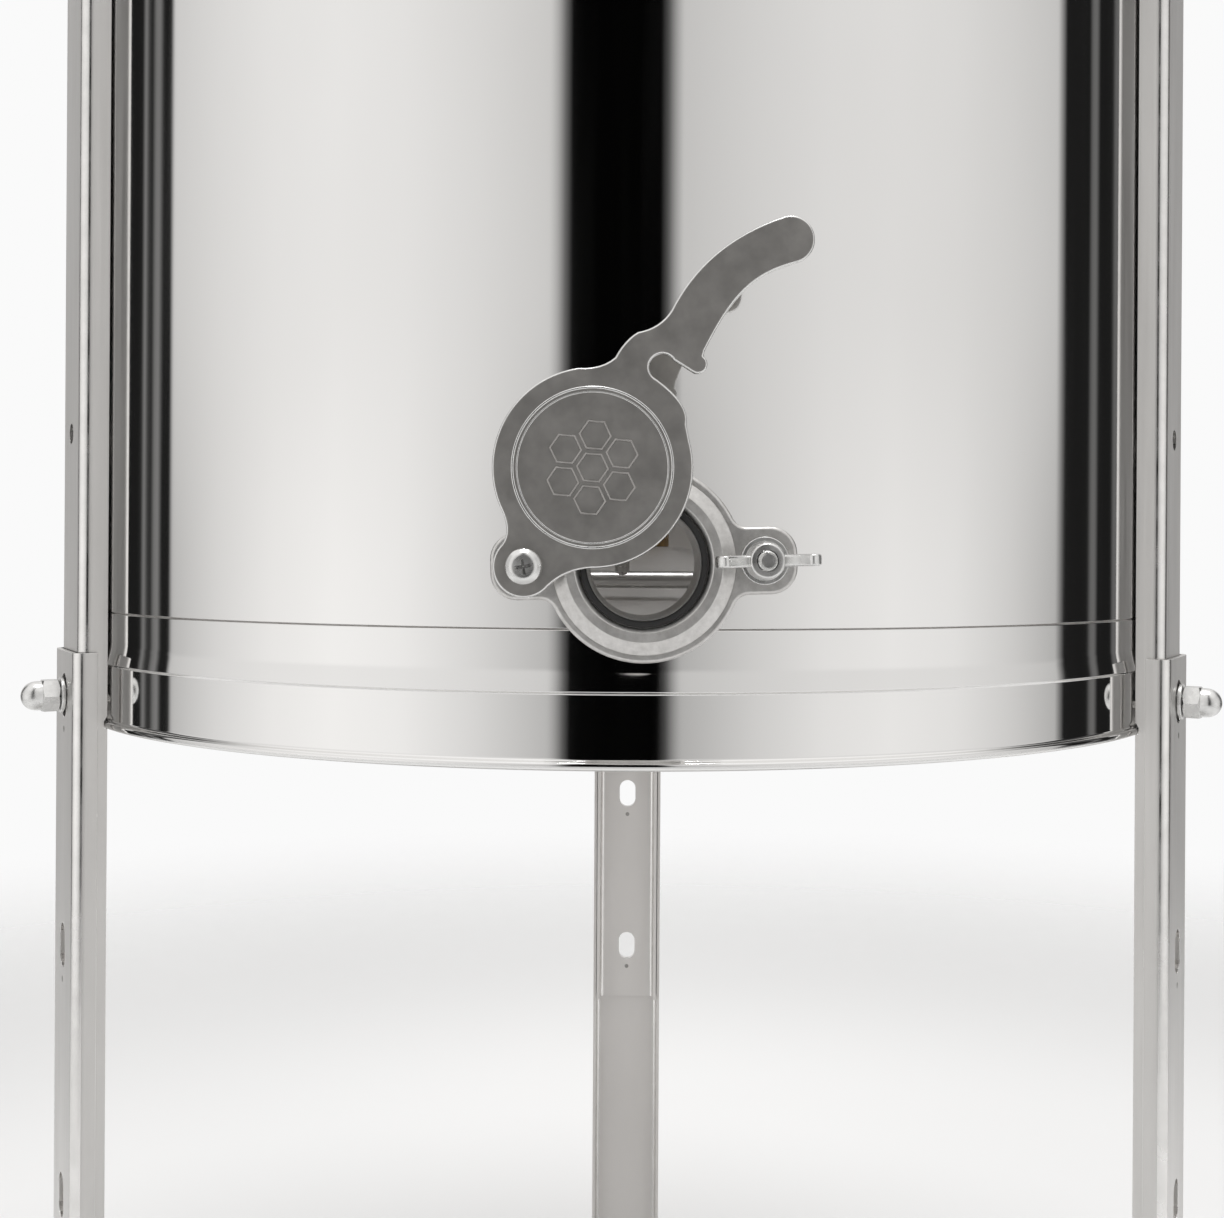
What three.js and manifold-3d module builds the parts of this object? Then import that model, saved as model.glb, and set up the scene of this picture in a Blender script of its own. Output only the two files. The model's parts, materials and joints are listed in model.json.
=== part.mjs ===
// A hand-cranked honey extractor: a stainless drum on three bolted legs, with a hinged honey gate
// low on its front, a crossbar with bevel gears and a crank, two half lids and a turning frame basket.
//
// Millimetres, +Z up, the gate towards -Y and the crank towards +X. Everything is drawn about the
// drum axis, and the outermost group moves it so that the origin is on the floor, in the middle of
// the outline. Every piece keeps a small gap to its neighbours.

import * as THREE from 'three';
import { mergeVertices } from 'three/addons/utils/BufferGeometryUtils.js';
import Module from 'manifold-3d';

// ---- driving dimensions ----

const GAP = 0.35;

// Drum
const DRUM_RADIUS = 260;
const SHEET = 1.2;
const DRUM_SIDES = 48;
const DRUM_BOTTOM = 450;
const DRUM_TOP = 1090;
const SEAM_Z = 498.4;
const RIDGE_Z = 477.5;
const RIDGE_RADIUS = 261;
const HEM_RADIUS = 262.4;
const BEAD_RADIUS = 3;
const LIP_TOP = 508;
const FLOOR_EDGE_Z = 491.5;
const FLOOR_CENTRE_Z = 528;
const FLOOR_SEAT_RADIUS = 30;
const DRUM_INSIDE = DRUM_RADIUS - SHEET;

// Legs
const LEG_ANGLES = { rear: -1, left: 120, right: 240 };
const LEG_SHEET = 2;
const LEG_CORNER = 5;
const FOOT_INNER_RADIUS = 256;
const LOWER_LEG_WIDTH = 46;
const LOWER_LEG_FACE = 274;
const LOWER_LEG_EDGE = HEM_RADIUS + 2;
const LOWER_LEG_BOTTOM = 6;
const LOWER_LEG_TOP = 482;
const UPPER_LEG_WIDTH = 41;
const UPPER_LEG_FACE = LOWER_LEG_FACE - LEG_SHEET - 0.4;
const UPPER_LEG_EDGE = DRUM_RADIUS;
const UPPER_LEG_BOTTOM = 215;
const UPPER_LEG_TOP = 860;
const BOLT_Z = 463.1;
const SLOT_PITCH = 106.4;
const SLOT_COUNT = 3;
const SLOT_WIDTH = 11;
const SLOT_LENGTH = 18.5;
const RIVET_Z = 829;
const UPPER_HOLE_Z = 574.3;
const UPPER_HOLE_RADIUS = 4.3;

// M8 fasteners
const M8_RADIUS = 3.9;
const M8_HOLE = 4.4;
const M8_HEX = 13 / Math.sqrt(3);
const M8_WASHER_RADIUS = 7.5;
const M8_WASHER = 1.6;
const DOME_NUT_LENGTH = 15;

// Honey gate, drawn about the bore with z counted outwards from the drum axis
const GATE_X = 6.85;
const GATE_Z = 521.5;
const GATE_TILT = 1.7;
const BORE_RADIUS = 18;
const NECK_RADIUS = 24;
const NECK_INNER_END = 256.5;
const GATE_BACK = 290.1;
const GATE_FLANGE_BACK = 293.9;
const GATE_FLANGE_FRONT = 297.9;
const GATE_FLANGE_RADIUS = 31.8;
const SEAT_FRONT = 301.4;
const EAR_OFFSET = 37.65;
const EAR_RADIUS = 10.5;
const COVER_BACK = 302;
const COVER_FRONT = 305;
const COVER_DISC_RADIUS = 31.5;
const COVER_EAR_RADIUS = 9.8;
const COVER_REST_ANGLE = 53.8;
const M6_RADIUS = 3;
const M6_HOLE = 3.4;
const M6_HEX = 10 / Math.sqrt(3);
const STUD_END = 318;
const WING_REACH = 16.2;

// Crossbar and gears
const CROSSBAR_HALF_WIDTH = 55;
const CROSSBAR_BOTTOM = DRUM_TOP + 0.4;
const CROSSBAR_TOP = 1120;
const CROSSBAR_SHEET = 2.5;
const CROSSBAR_END = 267.3;
const CROSSBAR_RIVET_Z = 1068;
const CROSSBAR_REACH = 270.6;
const GEAR_AXIS_Z = 1176;
const CRANK_TEETH = 30;
const PINION_TEETH = 12;
const CRANK_GEAR_RADIUS = 45;
const GEAR_MODULE = 2 * CRANK_GEAR_RADIUS / CRANK_TEETH;
const GEAR_FACE = 12;
const HOUSING_HALF_WIDTH = 50;
const HOUSING_LEFT = -34;
const HOUSING_RIGHT = 52;
const HOUSING_TOP = 1228;
const CRANK_SHAFT_RADIUS = 8;
const BASKET_SHAFT_RADIUS = 8;

// Crank
const PILLAR_X = 244;
const PILLAR_THICKNESS = 16;
const ARM_X = 300;
const ARM_THICKNESS = 8;
const ARM_LENGTH = 150;
const GRIP_RADIUS = 14;
const GRIP_LENGTH = 101;
const GRIP_PIN_RADIUS = 5;
const CRANK_REACH = 414;

// Lids
const LID_RADIUS = 262;
const LID_BOTTOM = DRUM_TOP + 0.6;
const LID_SHEET = 3;
const HINGE_Y = 62;
const HINGE_Z = 1097;
const HINGE_BARREL = 6;
const HINGE_PIN = 3;
const HINGE_HALF_LENGTH = 118;
const LUG_INNER = 122;
const LUG_OUTER = 134;
const KNOB_Y = 215;

// Basket
const CAGE_HALF = 165;
const CAGE_ROD = 4;
const CAGE_BOTTOM = 514;
const CAGE_TOP = 1050;
const SPIDER_BOTTOM = 562;
const HUB_RADIUS = 22;
const HUB_HEIGHT = 24;
const SCREEN_DISTANCE = 157;
const SCREEN_WIDTH = 296;
const SCREEN_SHEET = 1.6;
const SHAFT_BOTTOM = 532;
const SHAFT_TOP = 1150;

const FRONT_REACH = 321.4;
const REAR_REACH = LOWER_LEG_FACE + GAP + M8_WASHER + GAP + DOME_NUT_LENGTH;

const wasm = await Module();
wasm.setup();

// ---- solids ----

function solid(geometry) {
  const shell = geometry.clone();
  shell.deleteAttribute('normal');
  shell.deleteAttribute('uv');
  const merged = mergeVertices(shell);
  const corners = merged.index.array;
  const triangles = [];
  for (let i = 0; i < corners.length; i += 3) {
    const [a, b, c] = corners.slice(i, i + 3);
    if (a !== b && b !== c && c !== a) {
      triangles.push(a, b, c);
    }
  }
  return new wasm.Manifold(new wasm.Mesh({
    numProp: 3,
    vertProperties: new Float32Array(merged.attributes.position.array),
    triVerts: new Uint32Array(triangles),
  }));
}

function geometryOf(body) {
  const { vertProperties, triVerts } = body.getMesh();
  const geometry = new THREE.BufferGeometry();
  geometry.setAttribute('position', new THREE.BufferAttribute(vertProperties, 3));
  geometry.setIndex(new THREE.BufferAttribute(triVerts, 1));
  geometry.computeVertexNormals();
  return geometry;
}

function union(bodies) {
  return bodies.reduce((whole, body) => whole.add(body));
}

// A solid of revolution about Z. The outline is a list of [radius, height] and closes on itself
// or, when it starts and ends at radius 0, on the axis.
function turned(outline, sides) {
  let doubledArea = 0;
  outline.forEach(([r, z], i) => {
    const [nextR, nextZ] = outline[(i + 1) % outline.length];
    doubledArea += r * nextZ - nextR * z;
  });
  const ordered = doubledArea > 0 ? [...outline] : [...outline].reverse();
  const startsOnAxis = ordered.some(([r], i) => r === 0 && ordered[(i + 1) % ordered.length][0] === 0);
  if (startsOnAxis) {
    while (!(ordered[0][0] === 0 && ordered[ordered.length - 1][0] === 0)) {
      ordered.push(ordered.shift());
    }
  } else {
    ordered.push(ordered[0]);
  }
  const points = ordered.map(([r, z]) => new THREE.Vector2(r, z));
  return solid(new THREE.LatheGeometry(points, sides).rotateX(Math.PI / 2));
}

function cylinder(radius, from, to, sides = 24) {
  return turned([[0, from], [radius, from], [radius, to], [0, to]], sides);
}

function ring(inner, outer, from, to, sides = 24) {
  return turned([[inner, from], [outer, from], [outer, to], [inner, to]], sides);
}

function box(x0, x1, y0, y1, z0, z1) {
  const block = new THREE.BoxGeometry(x1 - x0, y1 - y0, z1 - z0);
  return solid(block.translate((x0 + x1) / 2, (y0 + y1) / 2, (z0 + z1) / 2));
}

function extruded(shape, from, to, curveSegments = 6) {
  const plate = new THREE.ExtrudeGeometry(shape, {
    depth: to - from,
    bevelEnabled: false,
    curveSegments,
  });
  return solid(plate.translate(0, 0, from));
}

function rod(from, to, radius, sides = 6) {
  const start = new THREE.Vector3(...from);
  const end = new THREE.Vector3(...to);
  const along = end.clone().sub(start);
  const bar = new THREE.CylinderGeometry(radius, radius, along.length(), sides);
  const turn = new THREE.Quaternion().setFromUnitVectors(new THREE.Vector3(0, 1, 0), along.normalize());
  bar.applyQuaternion(turn);
  bar.translate(...start.add(end).multiplyScalar(0.5).toArray());
  return solid(bar);
}

// Turns a body drawn about Z so that its +Z points along +Y, +X or -Y.
const TO_Y = [-90, 0, 0];
const TO_X = [0, 90, 0];
const TO_FRONT = [90, 0, 0];

function obround(width, length) {
  const radius = width / 2;
  const reach = length / 2 - radius;
  const shape = new THREE.Shape();
  shape.absarc(0, reach, radius, 0, Math.PI);
  shape.absarc(0, -reach, radius, Math.PI, 2 * Math.PI);
  shape.closePath();
  return shape;
}

// ---- materials ----

const FINISHES = {
  polished: { color: 0xc9c8c4, roughness: 0.08, metalness: 1 },
  brushed: { color: 0xb9b7b2, roughness: 0.3, metalness: 1 },
  cast: { color: 0x9c9891, roughness: 0.22, metalness: 1 },
  zinc: { color: 0xa8a9aa, roughness: 0.35, metalness: 1 },
  bronze: { color: 0xa9803f, roughness: 0.4, metalness: 1 },
  rubber: { color: 0x151515, roughness: 0.8, metalness: 0 },
  grip: { color: 0x1c1c1d, roughness: 0.55, metalness: 0 },
  acrylic: { color: 0xdde3e4, roughness: 0.1, metalness: 0, transparent: true, opacity: 0.35 },
};

function piece(name, body, finish) {
  const material = new THREE.MeshStandardMaterial(FINISHES[finish]);
  const mesh = new THREE.Mesh(geometryOf(body), material);
  mesh.name = name;
  return mesh;
}

// ---- drum ----

// The outside of the lower ring and the drum, from the bottom hem up, moved outwards by a gap.
function drumOutside(gap, top) {
  return [
    [HEM_RADIUS - 1 + gap, DRUM_BOTTOM - gap],
    [HEM_RADIUS + gap, DRUM_BOTTOM + 2.4],
    [DRUM_RADIUS + gap, DRUM_BOTTOM + 5.5],
    [DRUM_RADIUS + gap, RIDGE_Z - 1.2],
    [RIDGE_RADIUS + gap, RIDGE_Z],
    [DRUM_RADIUS + gap, RIDGE_Z + 7],
    [DRUM_RADIUS + gap, top],
  ];
}

function radialHole(radius, z, angle) {
  const bit = cylinder(radius, DRUM_RADIUS - 20, DRUM_RADIUS + 20, 12).rotate(TO_Y);
  return bit.translate([0, 0, z]).rotate([0, 0, angle]);
}

function gateHole() {
  return cylinder(NECK_RADIUS + GAP, DRUM_RADIUS - 40, DRUM_RADIUS + 20)
    .rotate(TO_FRONT)
    .translate([GATE_X, 0, GATE_Z]);
}

function drumWall() {
  const beadRadius = DRUM_RADIUS + 1;
  const beadZ = DRUM_TOP - BEAD_RADIUS;
  const outline = [[DRUM_INSIDE, SEAM_Z + GAP], [DRUM_RADIUS, SEAM_Z + GAP], [DRUM_RADIUS, beadZ - 2.8]];
  for (const angle of [-30, 30, 90, 170]) {
    const turn = THREE.MathUtils.degToRad(angle);
    outline.push([beadRadius + BEAD_RADIUS * Math.cos(turn), beadZ + BEAD_RADIUS * Math.sin(turn)]);
  }
  outline.push([DRUM_INSIDE, beadZ - 4]);
  let wall = turned(outline, DRUM_SIDES).subtract(gateHole());
  for (const angle of Object.values(LEG_ANGLES)) {
    wall = wall.subtract(radialHole(M8_HOLE, RIVET_Z, angle));
  }
  for (const side of [90, -90]) {
    wall = wall.subtract(radialHole(M8_HOLE, CROSSBAR_RIVET_Z, side));
  }
  return wall;
}

function tankRing() {
  const lipOutside = DRUM_INSIDE - 0.4;
  const lipInside = lipOutside - SHEET;
  const outline = drumOutside(0, SEAM_Z);
  outline.push(
    [lipOutside, SEAM_Z],
    [lipOutside, LIP_TOP],
    [lipInside, LIP_TOP],
    [lipInside, SEAM_Z - 6],
    [DRUM_INSIDE, SEAM_Z - 9],
    [DRUM_INSIDE, DRUM_BOTTOM + 5.5],
    [DRUM_INSIDE + 0.4, DRUM_BOTTOM],
  );
  let lower = turned(outline, DRUM_SIDES).subtract(gateHole());
  for (const angle of Object.values(LEG_ANGLES)) {
    lower = lower.subtract(radialHole(M8_HOLE, BOLT_Z, angle));
  }
  return lower;
}

function tankFloor() {
  const rim = DRUM_INSIDE - 2.6;
  const thickness = 1.5;
  return turned([
    [0, FLOOR_CENTRE_Z],
    [FLOOR_SEAT_RADIUS, FLOOR_CENTRE_Z],
    [rim, FLOOR_EDGE_Z],
    [rim, FLOOR_EDGE_Z - 14],
    [rim - thickness, FLOOR_EDGE_Z - 14],
    [rim - thickness, FLOOR_EDGE_Z - thickness],
    [FLOOR_SEAT_RADIUS, FLOOR_CENTRE_Z - thickness],
    [0, FLOOR_CENTRE_Z - thickness],
  ], DRUM_SIDES);
}

function bottomBearing() {
  const base = FLOOR_CENTRE_Z + GAP;
  const bore = BASKET_SHAFT_RADIUS + 0.6;
  return turned([
    [0, base],
    [24, base],
    [24, base + 11],
    [16, base + 18],
    [bore, base + 18],
    [bore, SHAFT_BOTTOM - GAP],
    [0, SHAFT_BOTTOM - GAP],
  ], 24);
}

// ---- legs, drawn at the rear with y counted outwards from the drum axis ----

function channelShape(width, face, edge, grow) {
  const half = width / 2 + grow;
  const outer = face + grow;
  const inner = face - LEG_SHEET - grow;
  const innerHalf = width / 2 - LEG_SHEET - grow;
  const corner = LEG_CORNER;
  const innerCorner = LEG_CORNER - LEG_SHEET;
  const shape = new THREE.Shape();
  shape.moveTo(-half, edge - grow);
  shape.lineTo(-half, outer - corner);
  shape.absarc(-half + corner, outer - corner, corner, Math.PI, Math.PI / 2, true);
  shape.absarc(half - corner, outer - corner, corner, Math.PI / 2, 0, true);
  shape.lineTo(half, edge - grow);
  shape.lineTo(innerHalf, edge - grow);
  shape.lineTo(innerHalf, inner - innerCorner);
  shape.lineTo(innerHalf - innerCorner, inner);
  shape.lineTo(-innerHalf + innerCorner, inner);
  shape.lineTo(-innerHalf, inner - innerCorner);
  shape.lineTo(-innerHalf, edge - grow);
  return shape;
}

function channel(width, face, edge, from, to) {
  const clearance = drumOutside(0.4, DRUM_TOP);
  clearance.push([0, DRUM_TOP], [0, DRUM_BOTTOM - 0.4]);
  return extruded(channelShape(width, face, edge, 0), from, to, 2).subtract(turned(clearance, DRUM_SIDES));
}

function slot(z) {
  return extruded(obround(SLOT_WIDTH, SLOT_LENGTH), 0, 40, 4)
    .rotate(TO_FRONT)
    .translate([0, DRUM_RADIUS + 40, z]);
}

function withSlots(body) {
  let slotted = body;
  for (let step = 0; step < SLOT_COUNT; step += 1) {
    slotted = slotted.subtract(slot(BOLT_Z - step * SLOT_PITCH));
  }
  return slotted;
}

function lowerLeg() {
  return withSlots(channel(
    LOWER_LEG_WIDTH, LOWER_LEG_FACE, LOWER_LEG_EDGE,
    LOWER_LEG_BOTTOM, LOWER_LEG_TOP,
  ));
}

function upperLeg() {
  return withSlots(channel(UPPER_LEG_WIDTH, UPPER_LEG_FACE, UPPER_LEG_EDGE, UPPER_LEG_BOTTOM, UPPER_LEG_TOP))
    .subtract(radialHole(UPPER_HOLE_RADIUS, UPPER_HOLE_Z, 0))
    .subtract(radialHole(M8_HOLE, RIVET_Z, 0));
}

function foot() {
  const half = LOWER_LEG_WIDTH / 2 + 4;
  const block = box(-half, half, FOOT_INNER_RADIUS, LOWER_LEG_FACE + 4, 0, 22);
  const shape = channelShape(LOWER_LEG_WIDTH, LOWER_LEG_FACE, LOWER_LEG_EDGE, GAP);
  const pocket = extruded(shape, LOWER_LEG_BOTTOM - GAP, 30, 2);
  return block.subtract(pocket);
}

function legBolt() {
  const headFrom = DRUM_INSIDE - 6.3;
  const headTo = DRUM_INSIDE - 0.8;
  const shank = cylinder(M8_RADIUS, headTo - 1, REAR_REACH - 7, 12);
  return cylinder(M8_HEX, headFrom, headTo, 6).add(shank).rotate(TO_Y).translate([0, 0, BOLT_Z]);
}

function legWasher() {
  const back = LOWER_LEG_FACE + GAP;
  const washer = ring(M8_HOLE, M8_WASHER_RADIUS, back, back + M8_WASHER, 16);
  return washer.rotate(TO_Y).translate([0, 0, BOLT_Z]);
}

function domeNut() {
  const back = LOWER_LEG_FACE + GAP + M8_WASHER + GAP;
  const domeRadius = 6.2;
  const domeStart = DOME_NUT_LENGTH - domeRadius;
  const outline = [[0, back + 1], [domeRadius, back + 1]];
  for (const angle of [0, 30, 60]) {
    const turn = THREE.MathUtils.degToRad(angle);
    const height = back + domeStart + domeRadius * Math.sin(turn);
    outline.push([domeRadius * Math.cos(turn), height]);
  }
  outline.push([0, REAR_REACH]);
  const nut = cylinder(M8_HEX, back, back + 7, 6)
    .add(turned(outline, 12))
    .subtract(cylinder(M8_HOLE, back - 1, REAR_REACH - 4.5, 12));
  return nut.rotate(TO_Y).translate([0, 0, BOLT_Z]);
}

function rivet(innerFace, outerFace, z) {
  const headRadius = 7;
  const headHeight = 3;
  const outline = [
    [0, innerFace - headHeight],
    [headRadius, innerFace - 1],
    [headRadius, innerFace],
    [M8_RADIUS, innerFace],
    [M8_RADIUS, outerFace],
    [headRadius, outerFace],
    [headRadius, outerFace + 1],
    [0, outerFace + headHeight],
  ];
  return turned(outline, 10).rotate(TO_Y).translate([0, 0, z]);
}

function legs() {
  const all = new THREE.Group();
  for (const [side, angle] of Object.entries(LEG_ANGLES)) {
    const leg = new THREE.Group();
    leg.add(piece(`upper_leg_${side}`, upperLeg(), 'polished'));
    leg.add(piece(`lower_leg_${side}`, lowerLeg(), 'polished'));
    leg.add(piece(`foot_${side}`, foot(), 'rubber'));
    leg.add(piece(`leg_bolt_${side}`, legBolt(), 'zinc'));
    leg.add(piece(`leg_washer_${side}`, legWasher(), 'zinc'));
    leg.add(piece(`leg_dome_nut_${side}`, domeNut(), 'polished'));
    leg.add(piece(`leg_rivet_${side}`, rivet(DRUM_INSIDE - 0.8, UPPER_LEG_FACE + GAP, RIVET_Z), 'zinc'));
    leg.rotation.z = THREE.MathUtils.degToRad(angle);
    all.add(leg);
  }
  return all;
}

// ---- honey gate ----

function gateNeck() {
  return ring(BORE_RADIUS, NECK_RADIUS, NECK_INNER_END, GATE_BACK - GAP, 20);
}

function gateBody() {
  const ears = obround(2 * EAR_RADIUS, 2 * (EAR_OFFSET + EAR_RADIUS));
  const seat = turned([
    [0, GATE_FLANGE_FRONT - 1],
    [GATE_FLANGE_RADIUS - 2.6, GATE_FLANGE_FRONT - 1],
    [GATE_FLANGE_RADIUS - 2.6, GATE_FLANGE_FRONT + 0.8],
    [GATE_FLANGE_RADIUS - 6.8, SEAT_FRONT],
    [0, SEAT_FRONT],
  ], 32);
  return union([
    extruded(ears, GATE_FLANGE_BACK, GATE_FLANGE_FRONT, 6).rotate([0, 0, 90]),
    cylinder(GATE_FLANGE_RADIUS, GATE_FLANGE_BACK, GATE_FLANGE_FRONT, 32),
    cylinder(NECK_RADIUS + 4, GATE_BACK, GATE_FLANGE_BACK + 1, 20),
    seat,
    cylinder(EAR_RADIUS - 2, GATE_FLANGE_FRONT - 1, SEAT_FRONT, 16).translate([-EAR_OFFSET, 0, 0]),
  ])
    .subtract(cylinder(BORE_RADIUS, GATE_BACK - 1, SEAT_FRONT + 1))
    .subtract(cylinder(BORE_RADIUS + 2.35, SEAT_FRONT - 5, SEAT_FRONT + 1))
    .subtract(cylinder(M6_HOLE, GATE_FLANGE_BACK - 1, SEAT_FRONT + 1, 12).translate([-EAR_OFFSET, 0, 0]))
    .subtract(cylinder(M6_HOLE, GATE_FLANGE_BACK - 1, SEAT_FRONT + 1, 12).translate([EAR_OFFSET, 0, 0]));
}

function gateSeal() {
  return ring(BORE_RADIUS, BORE_RADIUS + 2, SEAT_FRONT - 4.7, SEAT_FRONT + 0.2);
}

// The cover's outline about its pivot, with the disc towards +X. It runs round the pivot ear, the
// disc, the shoulder, the handle and its round tip, the hook nose and the slot for the stud.
function coverShape() {
  const degrees = THREE.MathUtils.degToRad;
  const shape = new THREE.Shape();
  shape.absarc(0, 0, COVER_EAR_RADIUS, degrees(-95), degrees(80), true);
  const discStart = degrees(148);
  const disc = COVER_DISC_RADIUS;
  shape.quadraticCurveTo(
    7, 9.4,
    EAR_OFFSET + disc * Math.cos(discStart), disc * Math.sin(discStart),
  );
  shape.absarc(EAR_OFFSET, 0, disc, discStart, degrees(43), true);
  shape.quadraticCurveTo(64.6, 15.2, 70, 13.9);
  shape.quadraticCurveTo(76, 14.6, 80.5, 12.6);
  shape.quadraticCurveTo(85.5, 7.6, 92, 7.9);
  shape.bezierCurveTo(106, 9.9, 121, 7.2, 136.5, -4.5);
  shape.absarc(131.6, -10.2, 7.5, degrees(49), degrees(-130), true);
  shape.bezierCurveTo(116, -6.6, 107, -5.2, 87.6, -8);
  shape.absarc(83, -8.6, 3, degrees(0), degrees(-180), true);
  shape.absarc(2 * EAR_OFFSET + 0.6, 0, 4.2, degrees(-25), degrees(190), false);
  shape.quadraticCurveTo(71.4, -14, 65.5, -16.4);
  shape.absarc(EAR_OFFSET, 0, disc, degrees(-40), degrees(-146), true);
  shape.quadraticCurveTo(6.5, -11.2, COVER_EAR_RADIUS * Math.cos(degrees(-95)), -COVER_EAR_RADIUS);
  return shape;
}

function gateCover() {
  const edge = 0.6;
  const plate = new THREE.ExtrudeGeometry(coverShape(), {
    depth: COVER_FRONT - COVER_BACK - 2 * edge,
    bevelEnabled: true,
    bevelThickness: edge,
    bevelSize: edge,
    bevelOffset: -edge,
    bevelSegments: 1,
    curveSegments: 5,
  });
  return solid(plate.translate(0, 0, COVER_BACK + edge))
    .subtract(cylinder(M6_HOLE, COVER_BACK - 1, COVER_FRONT + 1, 16));
}

function pivotScrew() {
  const headBack = COVER_FRONT + GAP;
  const headFront = headBack + 3.6;
  const head = turned([
    [0, headBack],
    [5.75, headBack],
    [5.75, headBack + 1.6],
    [4.6, headBack + 3.1],
    [2.4, headFront],
    [0, headFront],
  ], 20);
  const cross = box(-3, 3, -0.6, 0.6, headFront - 1.6, headFront + 1)
    .add(box(-0.6, 0.6, -3, 3, headFront - 1.6, headFront + 1));
  return head
    .add(cylinder(M6_RADIUS, GATE_FLANGE_BACK - 6.5, headBack + 1, 12))
    .subtract(cross);
}

function pivotNut() {
  const front = GATE_FLANGE_BACK - GAP;
  return cylinder(M6_HEX, front - 5, front, 6).subtract(cylinder(M6_HOLE, front - 6, front + 1, 12));
}

function gateStud() {
  return turned([
    [0, GATE_BACK],
    [M6_RADIUS, GATE_BACK],
    [M6_RADIUS, STUD_END - 0.8],
    [M6_RADIUS - 0.8, STUD_END],
    [0, STUD_END],
  ], 12);
}

function gateWasher() {
  return ring(M6_HOLE, 7.5, COVER_FRONT + 0.4, COVER_FRONT + 1.6, 20);
}

function wingNut() {
  const back = COVER_FRONT + 1.9;
  const thickness = 3.7;
  const wing = new THREE.Shape();
  wing.moveTo(3.8, 0.6);
  wing.quadraticCurveTo(14, 1.2, WING_REACH, 9.5);
  wing.quadraticCurveTo(WING_REACH, FRONT_REACH - back, 12.6, FRONT_REACH - back);
  wing.quadraticCurveTo(8.6, 9, 3.8, 6.6);
  const rightWing = extruded(wing, -thickness / 2, thickness / 2, 5).rotate([90, 0, 0]);
  const bothWings = rightWing.add(rightWing.rotate([0, 0, 180])).translate([0, 0, back]);
  const hub = turned([[0, back], [6.3, back], [5.4, back + 8.4], [0, back + 8.4]], 16);
  return hub.add(bothWings).subtract(cylinder(M6_HOLE, back - 1, back + 12, 12));
}

function honeyGate() {
  const gate = new THREE.Group();
  gate.add(piece('gate_neck', gateNeck(), 'brushed'));
  gate.add(piece('gate_body', gateBody(), 'cast'));
  gate.add(piece('gate_seal', gateSeal(), 'rubber'));

  const pivot = new THREE.Group();
  pivot.position.x = -EAR_OFFSET;
  pivot.add(piece('gate_pivot_screw', pivotScrew(), 'zinc'));
  pivot.add(piece('gate_pivot_nut', pivotNut(), 'zinc'));
  const cover = piece('gate_cover', gateCover(), 'polished');
  cover.rotation.z = THREE.MathUtils.degToRad(COVER_REST_ANGLE);
  pivot.add(cover);
  gate.add(pivot);

  const clamp = new THREE.Group();
  clamp.position.x = EAR_OFFSET;
  clamp.add(piece('gate_stud', gateStud(), 'zinc'));
  clamp.add(piece('gate_washer', gateWasher(), 'zinc'));
  clamp.add(piece('gate_wing_nut', wingNut(), 'cast'));
  gate.add(clamp);

  gate.rotation.set(Math.PI / 2, 0, THREE.MathUtils.degToRad(GATE_TILT));
  gate.position.set(GATE_X, 0, GATE_Z);
  return gate;
}

// ---- crossbar, gears and crank ----

function crossbar() {
  const half = CROSSBAR_HALF_WIDTH;
  const sheet = CROSSBAR_SHEET;
  const end = CROSSBAR_END;
  const bodies = [
    box(-end, end, -half, half, CROSSBAR_TOP - sheet, CROSSBAR_TOP),
    box(-end, end, half - sheet, half, CROSSBAR_BOTTOM, CROSSBAR_TOP),
    box(-end, end, -half, -half + sheet, CROSSBAR_BOTTOM, CROSSBAR_TOP),
  ];
  for (const side of [90, -90]) {
    bodies.push(
      box(-30, 30, end - sheet, end, CROSSBAR_RIVET_Z - 12, CROSSBAR_TOP).rotate([0, 0, side]),
      cylinder(9, DRUM_RADIUS + 0.7, end - 1, 12)
        .rotate(TO_Y)
        .translate([0, 0, CROSSBAR_RIVET_Z])
        .rotate([0, 0, side]),
    );
  }
  const lugDepth = HINGE_Y + HINGE_BARREL;
  for (const end0 of [-LUG_OUTER, LUG_INNER]) {
    const end1 = end0 + LUG_OUTER - LUG_INNER;
    bodies.push(
      box(end0, end1, half - 1, lugDepth, LID_BOTTOM + 2, HINGE_Z + HINGE_BARREL),
      box(end0, end1, -lugDepth, 1 - half, LID_BOTTOM + 2, HINGE_Z + HINGE_BARREL),
    );
  }
  let bar = union(bodies).subtract(
    cylinder(BASKET_SHAFT_RADIUS + 6.4, CROSSBAR_TOP - 10, CROSSBAR_TOP + 10),
  );
  for (const side of [90, -90]) {
    bar = bar.subtract(radialHole(M8_HOLE, CROSSBAR_RIVET_Z, side));
  }
  for (const y of [-HINGE_Y, HINGE_Y]) {
    const bore = cylinder(HINGE_PIN + GAP, -LUG_OUTER - 5, LUG_OUTER + 5, 12).rotate(TO_X);
    bar = bar.subtract(bore.translate([0, y, HINGE_Z]));
  }
  return bar;
}

function gearHousing() {
  const wall = 2.5;
  const base = CROSSBAR_TOP + GAP;
  const half = HOUSING_HALF_WIDTH;
  return box(HOUSING_LEFT, HOUSING_RIGHT, -half, half, base, HOUSING_TOP)
    .subtract(box(
      HOUSING_LEFT + wall, HOUSING_RIGHT - wall,
      -half + wall, half - wall,
      base - 5, HOUSING_TOP - wall,
    ))
    .subtract(
      cylinder(CRANK_SHAFT_RADIUS + 0.4, HOUSING_LEFT - 5, HOUSING_RIGHT + 5)
        .rotate(TO_X)
        .translate([0, 0, GEAR_AXIS_Z]),
    );
}

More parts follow.
